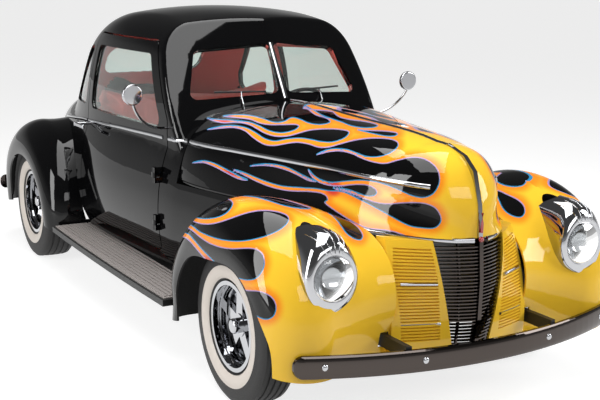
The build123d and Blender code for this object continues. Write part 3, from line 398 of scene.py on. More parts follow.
farFenderFlames = {
    "view": (6, 340, 180),
    "flames": [[(-2000, -2000), (4000, -2000), (4000, 4000), (-2000, 4000)]],
    "drops": [
        [(930, -10), (1000, -60), (1080, -55), (1115, 0), (1100, 30), (1050, 40), (990, 32), (945, 12)],
        [(938, 62), (955, 125), (985, 180), (1035, 215), (1085, 222), (1108, 195), (1103, 155), (1070, 120),
         (1010, 90)],
    ],
    "tips": [],
}


def smoothLoop(points, steps=5):
    # a smooth closed line through the traced points
    p = np.asarray(points, float)
    before, after, later = np.roll(p, 1, 0), np.roll(p, -1, 0), np.roll(p, -2, 0)
    pieces = []
    for k in range(steps):
        t = k / steps
        pieces.append(0.5 * (2 * p + (after - before) * t + (2 * before - 5 * p + 4 * after - later) * t ** 2
                             + (3 * p - before - 3 * after + later) * t ** 3))
    return np.stack(pieces, 1).reshape(-1, 2)


def edgeDistance(spots, loop):
    # distance to the loop, positive inside, and how far the nearest edge faces up or down
    nearest = np.full(len(spots), 1e9)
    facing = np.zeros(len(spots))
    inside = np.zeros(len(spots), bool)
    for a, b in zip(loop, np.roll(loop, -1, 0)):
        along = b - a
        length = float(along @ along) or 1e-9
        t = np.clip(((spots - a) @ along) / length, 0, 1)
        gap = spots - (a + t[:, None] * along)
        distance = np.hypot(gap[:, 0], gap[:, 1])
        closer = distance < nearest
        nearest[closer] = distance[closer]
        facing[closer] = along[0] / math.sqrt(length)
        crossing = (a[1] > spots[:, 1]) != (b[1] > spots[:, 1])
        inside ^= crossing & (spots[:, 0] < a[0] + (spots[:, 1] - a[1]) * along[0] / (along[1] or 1e-9))
    turn = np.sum(loop[:, 0] * np.roll(loop[:, 1], -1) - np.roll(loop[:, 0], -1) * loop[:, 1])
    return np.where(inside, nearest, -nearest), facing * (1 if turn > 0 else -1)


def flameValues(points, flames):
    zoom, left, top = flames["view"]
    spots = toPicture(points)
    corner = np.array((left, top), float)
    edge = np.full(len(spots), -1e9)
    side = np.zeros(len(spots))
    for outline in flames["flames"]:
        value, facing = edgeDistance(spots, smoothLoop(outline) / zoom + corner)
        side = np.where(value > edge, facing, side)
        edge = np.maximum(edge, value)
    for outline in flames["drops"]:
        value, facing = edgeDistance(spots, smoothLoop(outline) / zoom + corner)
        side = np.where(-value < edge, -facing, side)
        edge = np.minimum(edge, -value)
    tip = np.zeros(len(spots))
    for spot in flames["tips"]:
        gap = spots - (np.array(spot) / zoom + corner)
        tip = np.maximum(tip, 1 - np.hypot(gap[:, 0], gap[:, 1]) / flameLook["tipReach"])
    return np.clip(edge, -flameLook["reach"], flameLook["reach"]), tip, side


def layFlames(mesh, chooser):
    # chooser gives groups of vertices, each with the side it is drawn on and its flames
    points = np.zeros(len(mesh.vertices) * 3, np.float32)
    mesh.vertices.foreach_get("co", points)
    points = points.reshape(-1, 3).astype(float)
    values = [np.full(len(points), -flameLook["reach"]), np.zeros(len(points)), np.zeros(len(points))]
    for group, sign, flames in chooser(points):
        moved = points[group].copy()
        moved[:, 0] = sign * np.abs(moved[:, 0])
        for store, found in zip(values, flameValues(moved, flames)):
            store[group] = found
    for name, store in zip(("flameEdge", "flameTip", "flameSide"), values):
        mesh.attributes.new(name, "FLOAT", "POINT").data.foreach_set("value", store.astype(np.float32))


panelLook = {"fineEdge": 0.011, "fenderCrest": 0.62, "wheelHub": (0.738, -1.59, 0.337), "hoodMiddle": 0.80,
             "edgeOn": -0.02}


def hoodOuter(centre, normal):
    return normal.dot(Vector((centre.x, 0, centre.z - panelLook["hoodMiddle"]))) > panelLook["edgeOn"]


def fenderOuter(centre, normal):
    hub = Vector(panelLook["wheelHub"])
    hub.x = math.copysign(hub.x, centre.x)
    return normal.dot(centre - hub) > panelLook["edgeOn"]


hoodMesh = mergedMesh("hood")
refineMesh(hoodMesh, panelLook["fineEdge"], hoodOuter)
layFlames(hoodMesh, lambda p: [(np.ones(len(p), bool), -1, hoodFlames)])
centres, normals = faceArrays(hoodMesh)
addPiece("flamedHood", hoodMesh, "hood", [flamePaint, undercoat], ["hood"])
paintFaces(hoodMesh, [0 if hoodOuter(Vector(c), Vector(n)) else 1 for c, n in zip(centres, normals)])
print("hood:", len(hoodMesh.polygons), "faces")

fenderMesh = mergedMesh("front_fenders")
refineMesh(fenderMesh, panelLook["fineEdge"], fenderOuter)


def fenderGroups(points):
    far = (points[:, 0] > 0) & (points[:, 0] < panelLook["fenderCrest"])
    return [(~far, -1, fenderFlames), (far, 1, farFenderFlames)]


layFlames(fenderMesh, fenderGroups)
centres, normals = faceArrays(fenderMesh)
addPiece("flamedFrontFenders", fenderMesh, "chassis", [flamePaint, undercoat], ["front_fenders"])
paintFaces(fenderMesh, [0 if fenderOuter(Vector(c), Vector(n)) else 1 for c, n in zip(centres, normals)])
print("fenders:", len(fenderMesh.polygons), "faces")


# body shell and doors: black outside, coral vinyl inside, flame tongues on the cowl

shellLook = {
    "cowlRear": -0.44, "cowlTop": 1.16, "jamb": 0.03, "axis": 0.95, "roofOut": -0.4, "farWall": 2.4,
    "spread": 0.35, "doorInner": -0.35,
    "hingeX": 0.655, "hingeY": -0.444, "hingeReach": 0.035, "hingeTop": 0.86,
    "cabin": ("body_shell", "door_right", "door_left", "door_glass_right", "door_glass_left",
              "windshield_glass", "quarter_glass", "rear_glass", "floor_pan", "rear_shelf", "dashboard",
              "seat_back"),
}


def cabinTree():
    vertices, faces = [], []
    for name in shellLook["cabin"]:
        mesh = nodes[name].data
        start = len(vertices)
        vertices += [v.co.copy() for v in mesh.vertices]
        faces += [[start + i for i in f.vertices] for f in mesh.polygons]
    return BVHTree.FromPolygons(vertices, faces)


cabin = cabinTree()


def looksInside(centre, normal):
    # a face belongs to the cabin when the ways along its normal and beside it all meet another wall
    outward = centre - Vector((0, centre.y, shellLook["axis"]))
    if centre.z > shellLook["axis"] and normal.dot(outward.normalized()) > shellLook["roofOut"]:
        return False
    start = centre + normal * 0.004
    aside = shellLook["spread"] * normal.orthogonal().normalized()
    for way in (normal, normal + aside, normal - aside):
        hit = cabin.ray_cast(start, way.normalized(), shellLook["farWall"])
        if hit[0] is None or hit[3] < shellLook["jamb"]:
            return False
    return True


def onHinge(centres):
    near = np.abs(centres[:, 1] - shellLook["hingeY"]) < shellLook["hingeReach"]
    return near & (np.abs(centres[:, 0]) > shellLook["hingeX"]) & (centres[:, 2] < shellLook["hingeTop"])


shellMesh = mergedMesh("body_shell")
refineMesh(shellMesh, panelLook["fineEdge"], lambda c, n: (
    c.y < shellLook["cowlRear"] and abs(n.x) > 0.4 and c.z < shellLook["cowlTop"]))
layFlames(shellMesh, lambda p: [(p[:, 1] < shellLook["cowlRear"], -1, hoodFlames)])
centres, normals = faceArrays(shellMesh)
inside = [not hinge and looksInside(Vector(c), Vector(n))
          for c, n, hinge in zip(centres, normals, onHinge(centres))]
cowlFaces = centres[:, 1] < shellLook["cowlRear"]
addPiece("bodyShell", shellMesh, "chassis", [blackEnamel, redVinyl, flamePaint], ["body_shell"])
paintFaces(shellMesh, [1 if i else (2 if c else 0) for i, c in zip(inside, cowlFaces)])
for side, sign in (("right", -1), ("left", 1)):
    doorMesh = mergedMesh("door_" + side)
    centres, normals = faceArrays(doorMesh)
    addPiece("doorPanel_" + side, doorMesh, "door_" + side, [blackEnamel, redVinyl], ["door_" + side])
    paintFaces(doorMesh, ((sign * normals[:, 0] < shellLook["doorInner"]) & ~onHinge(centres)).astype(int))
print("body shell:", len(shellMesh.polygons), "faces")


# plain smooth copies of the other pieces that show

smoothPieces = {
    "deck_lid": blackEnamel, "rear_fenders": blackEnamel, "nose_panels": yellowEnamel,
    # the grille takes the chrome darkened as a painted dark reflection
    "running_boards": frameBlack, "board_mats": matRubber, "grille": paintedDarkReflectionChrome, "bumper_irons": frameBlack,
    "tail_lamps": redLens, "hood_trim": chrome,
    "windshield_glass": cleanGlass, "quarter_glass": cleanGlass, "rear_glass": cleanGlass,
    "dashboard": blackPlastic, "rear_shelf": redVinyl, "steering_column": blackPlastic,
    "steering_wheel": blackPlastic, "exhaust_pipes": chrome, "frame_rails": frameBlack,
    "floor_pan": frameBlack, "front_axle": frameBlack, "rear_axle": castIron, "leaf_springs": frameBlack,
    "engine_block": castIron, "radiator": rawAluminium, "fuel_tank": frameBlack, "seat_base": frameBlack,
    "knuckle_right": castIron, "knuckle_left": castIron,
}
for side in ("right", "left"):
    smoothPieces["door_glass_" + side] = cleanGlass
    smoothPieces["door_mirror_" + side] = chrome
    smoothPieces["door_handle_" + side] = chrome
    for end in ("front", "rear"):
        smoothPieces[f"rim_{end}_{side}"] = chrome
for node, material in smoothPieces.items():
    addPiece("finished_" + node, mergedMesh(node), bodyOfNode[node], [material], [node])
print("smooth copies:", len(smoothPieces))


# tyres: a turned profile with ribbed tread and a white band

tyreLook = {"white": (0.205, 0.262), "steps": 96, "grooves": 4, "grooveDeep": 0.006, "crown": 0.004,
            "wall": 0.8, "sharp": 40, "front": (0.337, 0.176, 0.195), "rear": (0.350, 0.205, 0.195)}


def tyreProfile(radius, width, bead):
    half = width / 2
    shoulder = half * 0.78
    whiteIn, whiteOut = tyreLook["white"]
    profile = [(-half * 0.72, bead + 0.001), (-half * 0.86, bead + 0.012), (-half * 0.97, whiteIn + 0.014),
               (-half, 0.245), (-half * 0.995, whiteOut), (-half * 0.985, whiteOut + 0.003),
               (-half * 0.96, radius - 0.042), (-half * 0.9, radius - 0.018), (-shoulder, radius - 0.005)]
    step = 2 * shoulder / (tyreLook["grooves"] * 4 + 2)
    x = -shoulder
    for _ in range(tyreLook["grooves"]):
        x += 2 * step
        top = radius - tyreLook["crown"] * (abs(x) / shoulder) ** 2
        deep = top - tyreLook["grooveDeep"]
        profile += [(x, top), (x + 0.3 * step, deep), (x + 1.4 * step, deep), (x + 1.7 * step, top)]
        x += 2 * step
    left = [p for p in profile if p[0] < -shoulder + 1e-6]
    return profile + [(-p[0], p[1]) for p in reversed(left)]


def tyreMesh(name, centre, sizes):
    profile = tyreProfile(*sizes)
    steps, count = tyreLook["steps"], len(profile)
    wall = 0.5 * sizes[1] * tyreLook["wall"]
    vertices, faces, bands = [], [], []
    for k in range(steps):
        angle = 2 * math.pi * k / steps
        vertices += [(centre[0] + x, centre[1] + r * math.cos(angle), centre[2] + r * math.sin(angle))
                     for x, r in profile]
        for j in range(count):
            nextPoint = (j + 1) % count
            here, there = k * count, (k + 1) % steps * count
            faces.append((here + j, here + nextPoint, there + nextPoint, there + j))
            middle = 0.5 * (profile[j][1] + profile[nextPoint][1])
            flat = abs(profile[j][0]) > wall and abs(profile[nextPoint][0]) > wall
            bands.append(1 if flat and tyreLook["white"][0] < middle < tyreLook["white"][1] else 0)
    return skinMesh(name, vertices, faces, sharp=tyreLook["sharp"]), bands


for end in ("front", "rear"):
    for side in ("right", "left"):
        low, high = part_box(f"tyre_{end}_{side}")
        mesh, bands = tyreMesh(f"whitewallTyre_{end}_{side}", (low + high) / 2, tyreLook[end])
        addPiece(f"whitewallTyre_{end}_{side}", mesh, f"wheel_{end}_{side}", [tyreRubber, whiteRubber],
                 [f"tyre_{end}_{side}"])
        paintFaces(mesh, bands)
print("tyres turned")


# stepped chrome dish behind the spokes of each wheel

dishLook = {"steps": ((0.186, 0.040), (0.184, 0.030), (0.168, 0.026), (0.166, 0.014), (0.150, 0.010),
                      (0.148, 0.000), (0.062, -0.006)), "around": 72, "sharp": 35}
dishAngles = [2 * math.pi * k / dishLook["around"] for k in range(dishLook["around"])]
for end in ("front", "rear"):
    for side, sign in (("right", -1), ("left", 1)):
        low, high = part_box(f"tyre_{end}_{side}")
        middle = (low + high) / 2
        points = [(middle.x + sign * out, middle.y + r * math.cos(a), middle.z + r * math.sin(a))
                  for r, out in dishLook["steps"] for a in dishAngles]
        faces = rowFaces(len(dishLook["steps"]), dishLook["around"])
        outward = Vector((sign, 0, 0))
        mesh = skinMesh(f"wheelDish_{end}_{side}", points, faces, outward, sharp=dishLook["sharp"])
        addPiece(f"wheelDish_{end}_{side}", mesh, f"wheel_{end}_{side}", [chrome], ())
print("wheel dishes turned")


# seats: padded pieces swollen as cloth, then sewn in channels

seatLook = {"voxel": 0.012, "pressure": 3.0, "frames": 20, "shrink": 0.015, "channel": 0.11,
            "channelDeep": 0.006}


def paddedPiece(node, channelAxis):
    low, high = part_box(node)
    middle = (low + high) / 2
    mesh = mergedMesh(node)
    shrink = [1 - 2 * seatLook["shrink"] / (high[k] - low[k]) for k in range(3)]
    for vertex in mesh.vertices:
        vertex.co = middle + Vector([(vertex.co[k] - middle[k]) * shrink[k] for k in range(3)])
    piece = bpy.data.objects.new("padded_" + node, mesh)
    scene.collection.objects.link(piece)
    bpy.context.view_layer.objects.active = piece
    remesh = piece.modifiers.new("evenSkin", "REMESH")
    remesh.voxel_size = seatLook["voxel"]
    cloth = piece.modifiers.new("stuffing", "CLOTH")
    cloth.settings.use_pressure = True
    cloth.settings.uniform_pressure_force = seatLook["pressure"]
    cloth.settings.effector_weights.gravity = 0.0
    for step in range(1, seatLook["frames"] + 1):
        scene.frame_set(step)
    shaped = bpy.data.meshes.new_from_object(piece.evaluated_get(bpy.context.evaluated_depsgraph_get()))
    scene.frame_set(1)
    piece.modifiers.clear()
    for vertex in shaped.vertices:
        for k in range(3):
            vertex.co[k] = min(max(vertex.co[k], low[k]), high[k])
        wave = abs(math.sin(math.pi * (vertex.co.x - middle.x) / seatLook["channel"]))
        groove = seatLook["channelDeep"] * (1 - wave) ** 3
        vertex.co[channelAxis] -= math.copysign(groove, vertex.co[channelAxis] - middle[channelAxis])
    for face in shaped.polygons:
        face.use_smooth = True
    bpy.data.objects.remove(piece)
    made = addPiece("padded_" + node, shaped, bodyOfNode[node], [redVinyl], [node])


paddedPiece("seat_cushion", 2)
paddedPiece("seat_back", 1)
print("seats padded")


# geometry node trees: mouldings along a path, heads on points, ribs side by side

def startTree(name, inputs):
    tree = bpy.data.node_groups.new(name, "GeometryNodeTree")
    tree.interface.new_socket("Geometry", in_out="INPUT", socket_type="NodeSocketGeometry")
    for label, kind in inputs:
        tree.interface.new_socket(label, in_out="INPUT", socket_type="NodeSocket" + kind)
    tree.interface.new_socket("Geometry", in_out="OUTPUT", socket_type="NodeSocketGeometry")
    return tree, addNode(tree, "NodeGroupInput"), addNode(tree, "NodeGroupOutput")


def endTree(tree, made, given, result, smooth=True):
    shaped = addNode(tree, "GeometryNodeRealizeInstances", links={0: made})
    if smooth:
        shaped = addNode(tree, "GeometryNodeSetShadeSmooth", links={0: shaped.outputs[0]})
    dressed = addNode(tree, "GeometryNodeSetMaterial", links={
        "Geometry": shaped.outputs[0], "Material": given.outputs["Material"]})
    tree.links.new(dressed.outputs[0], result.inputs[0])
    return tree


def mouldingTree():
    tree, given, result = startTree("mouldingAlong", [
        ("Half width", "Float"), ("Half depth", "Float"), ("Material", "Material")])
    line = addNode(tree, "GeometryNodeMeshToCurve", links={0: given.outputs["Geometry"]})
    upright = addNode(tree, "GeometryNodeSetCurveNormal", {"mode": "Z_UP"}, links={0: line.outputs[0]})
    circle = addNode(tree, "GeometryNodeCurvePrimitiveCircle", values={"Resolution": 14, "Radius": 1.0})
    size = addNode(tree, "ShaderNodeCombineXYZ", values={"Z": 1.0},
                   links={"X": given.outputs["Half depth"], "Y": given.outputs["Half width"]})
    profile = addNode(tree, "GeometryNodeTransform", links={0: circle.outputs[0], "Scale": size.outputs[0]})
    swept = addNode(tree, "GeometryNodeCurveToMesh", values={"Fill Caps": True},
                    links={"Curve": upright.outputs[0], "Profile Curve": profile.outputs[0]})
    return endTree(tree, swept.outputs[0], given, result)


def headTree():
    tree, given, result = startTree("headsOnPoints", [
        ("Radius", "Float"), ("Height", "Float"), ("Material", "Material")])
    ball = addNode(tree, "GeometryNodeMeshUVSphere", values={"Segments": 18, "Rings": 10, "Radius": 1.0})
    size = addNode(tree, "ShaderNodeCombineXYZ", links={
        "X": given.outputs["Radius"], "Y": given.outputs["Height"], "Z": given.outputs["Radius"]})
    placed = addNode(tree, "GeometryNodeInstanceOnPoints", links={
        "Points": given.outputs["Geometry"], "Instance": ball.outputs[0], "Scale": size.outputs[0]})
    return endTree(tree, placed.outputs[0], given, result)


def ribTree():
    tree, given, result = startTree("ribsSideBySide", [("Size", "Vector"), ("Material", "Material")])
    bar = addNode(tree, "GeometryNodeMeshCube", links={"Size": given.outputs["Size"]})
    placed = addNode(tree, "GeometryNodeInstanceOnPoints", links={
        "Points": given.outputs["Geometry"], "Instance": bar.outputs[0]})
    return endTree(tree, placed.outputs[0], given, result, smooth=False)


trees = {"moulding": mouldingTree(), "heads": headTree(), "ribs": ribTree()}


def grown(name, kind, points, values, body, joined=True):
    # runs one tree on a line or a set of points, and keeps the result as a plain mesh
    mesh = bpy.data.meshes.new(name)
    links = [(k, k + 1) for k in range(len(points) - 1)] if joined else []
    mesh.from_pydata([tuple(p) for p in points], links, [])
    carrier = bpy.data.objects.new(name + "Path", mesh)
    scene.collection.objects.link(carrier)
    modifier = carrier.modifiers.new(kind, "NODES")
    modifier.node_group = trees[kind]
    for item in trees[kind].interface.items_tree:
        if item.in_out == "INPUT" and item.name in values:
            modifier[item.identifier] = values[item.name]
    bpy.context.view_layer.update()
    made = bpy.data.meshes.new_from_object(carrier.evaluated_get(bpy.context.evaluated_depsgraph_get()))
    carrier.modifiers.clear()
    bpy.data.objects.remove(carrier)
    return addPiece(name, made, body, [values["Material"]])


def moulding(name, points, halfWidth, halfDepth, material, body, slot):
    sizes = {"Half width": halfWidth, "Half depth": halfDepth, "Material": material}
    grown(name, "moulding", points, sizes, body)


def heads(name, points, radius, height, material, slot):
    sizes = {"Radius": radius, "Height": height, "Material": material}
    grown(name, "heads", points, sizes, "chassis", joined=False)


treeOfNode = {}


def surfaceSpot(node, start, way):
    # where a ray from start first meets the CAD node, or None
    if node not in treeOfNode:
        mesh = nodes[node].data
        treeOfNode[node] = BVHTree.FromPolygons(
            [v.co.copy() for v in mesh.vertices], [list(f.vertices) for f in mesh.polygons])
    return treeOfNode[node].ray_cast(Vector(start), Vector(way).normalized(), 4.0)[0]


# chrome belt moulding, a piece for each panel it crosses

beltLook = {
    "heights": ((-2.10, 0.968), (-1.6, 0.980), (-0.97, 0.979), (-0.25, 0.968), (0.13, 0.959), (0.77, 0.928),
                (1.35, 0.872)),
    "half": (0.011, 0.006), "step": 0.03, "beside": 1.6, "leastX": 0.1,
    "runs": (("hood", "hood", -2.10, -0.622), ("body_shell", "chassis", -0.592, -0.458),
             ("door_", "door_", -0.395, 0.636), ("body_shell", "chassis", 0.664, 1.34)),
}
for side, sign in (("right", -1), ("left", 1)):
    for number, (node, body, first, last) in enumerate(beltLook["runs"]):
        panel = node + side if node.endswith("_") else node
        count = int((last - first) / beltLook["step"]) + 2
        spots = []
        for y in np.linspace(first, last, count):
            z = float(np.interp(y, *zip(*beltLook["heights"])))
            hit = surfaceSpot(panel, (sign * beltLook["beside"], y, z), (-sign, 0, 0))
            if hit is not None and abs(hit.x) > beltLook["leastX"]:
                spots.append(hit)
        if len(spots) > 2:
            rider = body + side if body.endswith("_") else body
            moulding(f"beltMoulding_{side}_{number}", spots, *beltLook["half"], chrome, rider, "chrome")

# trim along the foot of the hood and across the louvred panels

noseLook = {
    "edge": ((0.335, -1.85, 0.760), (0.285, -1.95, 0.760), (0.235, -2.04, 0.760), (0.18, -2.12, 0.760),
             (0.10, -2.19, 0.760), (0.03, -2.222, 0.760)),
    "half": (0.012, 0.009), "ahead": -3.0,
    "bars": ((0.584, 0.300, 0.168), (0.418, 0.305, 0.150)), "barHalf": (0.006, 0.007), "barProud": 0.002,
}
for side, sign in (("right", -1), ("left", 1)):
    moulding(f"hoodFootTrim_{side}", [(sign * x, y, z) for x, y, z in noseLook["edge"]], *noseLook["half"],
             chrome, "chassis", "chrome")
    for number, (z, outer, inner) in enumerate(noseLook["bars"]):
        spots = [surfaceSpot("nose_panels", (sign * x, noseLook["ahead"], z), (0, 1, 0))
                 for x in np.linspace(outer, inner, 9)]
        spots = [s + Vector((0, -noseLook["barProud"], 0)) for s in spots if s is not None]
        if len(spots) > 2:
            moulding(f"louvreBar_{side}_{number}", spots, *noseLook["barHalf"], chrome, "chassis", "chrome")

# windshield bar and wipers

shieldLook = {
    "foot": (0, -0.575, 1.158), "head": (0, -0.402, 1.432), "corner": (0.545, -0.470, 1.130),
    "barHalf": (0.007, 0.011), "blade": ((0.10, 0.042), (0.23, 0.050), (0.37, 0.060)),
    "arm": ((0.235, -0.02), (0.235, 0.02), (0.23, 0.050)), "wiperHalf": (0.005, 0.004), "proud": 0.012,
}
foot, head = Vector(shieldLook["foot"]), Vector(shieldLook["head"])
moulding("windshieldBar", [foot.lerp(head, k / 8) for k in range(9)], *shieldLook["barHalf"],
         chrome, "chassis", "chrome")
for side, sign in (("right", -1), ("left", 1)):
    across = (Vector((sign * shieldLook["corner"][0], *shieldLook["corner"][1:])) - foot).normalized()
    upward = (head - foot).normalized()
    proud = across.cross(upward).normalized() * shieldLook["proud"]
    proud = -proud if proud.y > 0 else proud
    for part, material in (("blade", frameBlack), ("arm", chrome)):
        spots = [foot + across * a + upward * b + proud for a, b in shieldLook[part]]
        moulding(f"wiper{part.capitalize()}_{side}", spots, *shieldLook["wiperHalf"], material, "chassis",
                 "chrome")

# red insert on the prow, bead under the hood edge, spine of the hood, pan below the grille

prowLook = {
    "insert": ((0, -2.230, 0.872), (0, -2.231, 0.83), (0, -2.230, 0.79)), "insertHalf": (0.004, 0.006),
    "knob": (0, -2.228, 0.762), "knobSize": (0.012, 0.010),
    "beadHalf": (0.009, 0.006), "beadRun": (-1.17, -0.63, 22), "beadFrom": 0.806, "beadZ": 0.779,
    "beadIn": 0.008, "spineHalf": (0.008, 0.008), "spineRun": (-2.02, -0.63, 40),
    "panDrop": ((0.0, 0.285), (0.004, 0.255), (0.022, 0.228), (0.07, 0.210), (0.15, 0.204)),
    "panHalf": 0.30, "panPoints": 33, "panTop": 0.285, "panDeep": 0.08, "panLift": 0.055,
    "panFrom": (0.175, 0.30), "panMiddle": -2.15, "panProud": 0.004, "panWall": 0.002, "panSharp": 40,
}
moulding("prowInsert", prowLook["insert"], *prowLook["insertHalf"], redEnamel, "hood", "lens_red")
heads("prowKnob", [prowLook["knob"]], *prowLook["knobSize"], redEnamel, "lens_red")
for side, sign in (("right", -1), ("left", 1)):
    spots = []
    for y in np.linspace(*prowLook["beadRun"]):
        hit = surfaceSpot("hood", (sign * beltLook["beside"], y, prowLook["beadFrom"]), (-sign, 0, 0))
        if hit is not None:
            spots.append((hit.x - sign * prowLook["beadIn"], y, prowLook["beadZ"]))
    moulding(f"hoodBead_{side}", spots, *prowLook["beadHalf"], blackEnamel, "chassis", "rubber")
spots = [surfaceSpot("hood", (0, y, 2.0), (0, 0, -1)) for y in np.linspace(*prowLook["spineRun"])]
moulding("hoodSpine", [s for s in spots if s is not None], *prowLook["spineHalf"], chrome, "hood", "chrome")
panPoints = []
for drop, z in prowLook["panDrop"]:
    for x in np.linspace(-prowLook["panHalf"], prowLook["panHalf"], prowLook["panPoints"]):
        lift = prowLook["panLift"] * (abs(x) / prowLook["panHalf"]) ** 2.5
        leastX, fromZ = prowLook["panFrom"]
        hit = surfaceSpot("nose_panels", (max(abs(x), leastX), noseLook["ahead"], fromZ), (0, 1, 0))
        nose = hit.y if hit is not None else prowLook["panMiddle"]
        panPoints.append((x, nose - prowLook["panProud"] + drop,
                          z + lift * (prowLook["panTop"] - z) / prowLook["panDeep"]))
panFaces = rowFaces(len(prowLook["panDrop"]), prowLook["panPoints"], closed=False)
panMesh = skinMesh("frontPan", panPoints, panFaces, Vector((0, -1, 0)), wall=prowLook["panWall"],
                   sharp=prowLook["panSharp"])
addPiece("frontPan", panMesh, "chassis", [yellowEnamel], ())

# bumper bars with a crowned face

bumperLook = {"crown": 0.012, "middle": 0.327, "halfHeight": 0.046, "edge": 0.012, "sharp": 50}
for end, sign in (("front", -1), ("rear", 1)):
    mesh = mergedMesh(end + "_bumper")
    refineMesh(mesh, bumperLook["edge"], lambda c, n: True)
    if "custom_normal" in mesh.attributes:
        mesh.attributes.remove(mesh.attributes["custom_normal"])
    for vertex in mesh.vertices:
        off = min(1.0, abs(vertex.co.z - bumperLook["middle"]) / bumperLook["halfHeight"])
        vertex.co.y += sign * bumperLook["crown"] * (math.sqrt(1 - 0.96 * off * off) - 0.6)
    mesh.set_sharp_from_angle(angle=math.radians(bumperLook["sharp"]))
    # the bumper face takes the chrome darkened as a painted dark reflection
    addPiece("bumperBar_" + end, mesh, "chassis", [paintedDarkReflectionChrome], [end + "_bumper"])

# bolt heads on the bumpers

boltLook = {"across": (-0.70, -0.31, 0.31, 0.70), "radius": 0.014, "height": 0.008, "z": 0.330, "away": 3.2}
for end, sign in (("front", -1), ("rear", 1)):
    spots = [surfaceSpot(end + "_bumper", (x, sign * boltLook["away"], boltLook["z"]), (0, -sign, 0))
             for x in boltLook["across"]]
    spots = [s + Vector((0, sign * 0.4 * bumperLook["crown"], 0)) for s in spots if s is not None]
    heads(f"bumperBolts_{end}", spots, boltLook["radius"], boltLook["height"], chrome, "chrome")

# ribs of the running board mats

ribLook = {"from": 0.668, "to": 0.872, "pitch": 0.0235, "size": (0.013, 1.64, 0.006), "middle": -0.169,
           "z": 0.318}
ribCount = int((ribLook["to"] - ribLook["from"]) / ribLook["pitch"]) + 1
for side, sign in (("right", -1), ("left", 1)):
    spots = [(sign * (ribLook["from"] + k * ribLook["pitch"]), ribLook["middle"], ribLook["z"])
             for k in range(ribCount)]
    sizes = {"Size": ribLook["size"], "Material": matRubber}
    grown(f"matRibs_{side}", "ribs", spots, sizes, "chassis", joined=False)
print("mouldings, bolts and ribs grown")


# headlamps: chrome shell laid on the fender, reflector bowl, pressed glass, ribs and a screw

lampLook = {
    "centre": (0.630, 0.655), "lens": 0.090, "faceY": -2.138, "steps": 72, "discSteps": 48, "merge": 1e-5,
    "outline": ((0, 0.182), (0.040, 0.174), (0.074, 0.146), (0.100, 0.096), (0.118, 0.034), (0.120, -0.010),
                (0.110, -0.056), (0.084, -0.098), (0.042, -0.126), (0, -0.136)),
    # rows of the shell: share of the way from the fender to the face, share of the way out from the lens
    "shell": ((-0.1, 1.0), (0.0, 1.0), (0.35, 0.975), (0.68, 0.90), (0.90, 0.72), (1.0, 0.42), (1.03, 0.16),
              (1.0, 0.0), (0.93, -0.04)),
    "seatFront": -1.93, "seatRear": -1.9, "seatElse": -2.0, "seatIn": 0.006, "seatRounds": 6,
    "bowl": (1.0, 0.85, 0.68, 0.5, 0.34, 0.18), "bowlDeep": 0.05, "bowlIn": 0.006,
    "dome": (0.02, 0.3, 0.55, 0.78, 0.92, 1.0), "domeDeep": 0.020, "domeOut": 0.002, "glassShare": 0.985,
    "glassWall": 0.004, "ribAngles": (-20, -10, 0, 10, 20), "ribHalf": (0.0022, 0.0022),
    "screw": (0.010, -0.108), "screwSize": (0.006, 0.006),
}


def lampOutline():
    right = lampLook["outline"]
    loop = smoothLoop([*right, *((-u, v) for u, v in reversed(right[1:-1]))], 8)
    angles = np.arctan2(loop[:, 1], loop[:, 0])
    order = np.argsort(angles)
    return angles[order], np.hypot(loop[:, 0], loop[:, 1])[order]


outlineAngles, outlineReach = lampOutline()


def lampRings(sign):
    # rows of points from the fender out to the lens
    across, height = lampLook["centre"]
    angles = [-math.pi + 2 * math.pi * k / lampLook["steps"] for k in range(lampLook["steps"])]
    reaches = [float(np.interp(a, outlineAngles, outlineReach, period=2 * math.pi)) for a in angles]
    seat = []
    for angle, outer in zip(angles, reaches):
        start = (sign * across + outer * math.cos(angle), noseLook["ahead"], height + outer * math.sin(angle))
        hit = surfaceSpot("front_fenders", start, (0, 1, 0))
        found = hit is not None and hit.y < lampLook["seatRear"]
        seat.append(min(hit.y, lampLook["seatFront"]) + lampLook["seatIn"] if found else lampLook["seatElse"])
    for _ in range(lampLook["seatRounds"]):
        seat = [(seat[k - 1] + 2 * seat[k] + seat[(k + 1) % len(seat)]) / 4 for k in range(len(seat))]
    rings = []
    for share, reachMix in lampLook["shell"]:
        ring = []
        for angle, outer, y in zip(angles, reaches, seat):
            reach = lampLook["lens"] + (outer - lampLook["lens"]) * reachMix
            ring.append((sign * across + reach * math.cos(angle), y + (lampLook["faceY"] - y) * share,
                         height + reach * math.sin(angle)))
        rings.append(ring)
    return rings


def discRings(sign, depths):
    across, height = lampLook["centre"]
    angles = [2 * math.pi * k / lampLook["discSteps"] for k in range(lampLook["discSteps"])]
    return [[(sign * across + r * math.cos(a), y, height + r * math.sin(a)) for a in angles]
            for r, y in depths]


def lampPiece(name, rings, material, replaced, closeEnd=True):
    count = len(rings[0])
    faces = rowFaces(len(rings), count)
    if closeEnd:
        faces.append(tuple(range((len(rings) - 1) * count, len(rings) * count)))
    mesh = skinMesh(name, [p for ring in rings for p in ring], faces, Vector((0, -1, 0)), lampLook["merge"])
    addPiece(name, mesh, "chassis", [material], replaced)


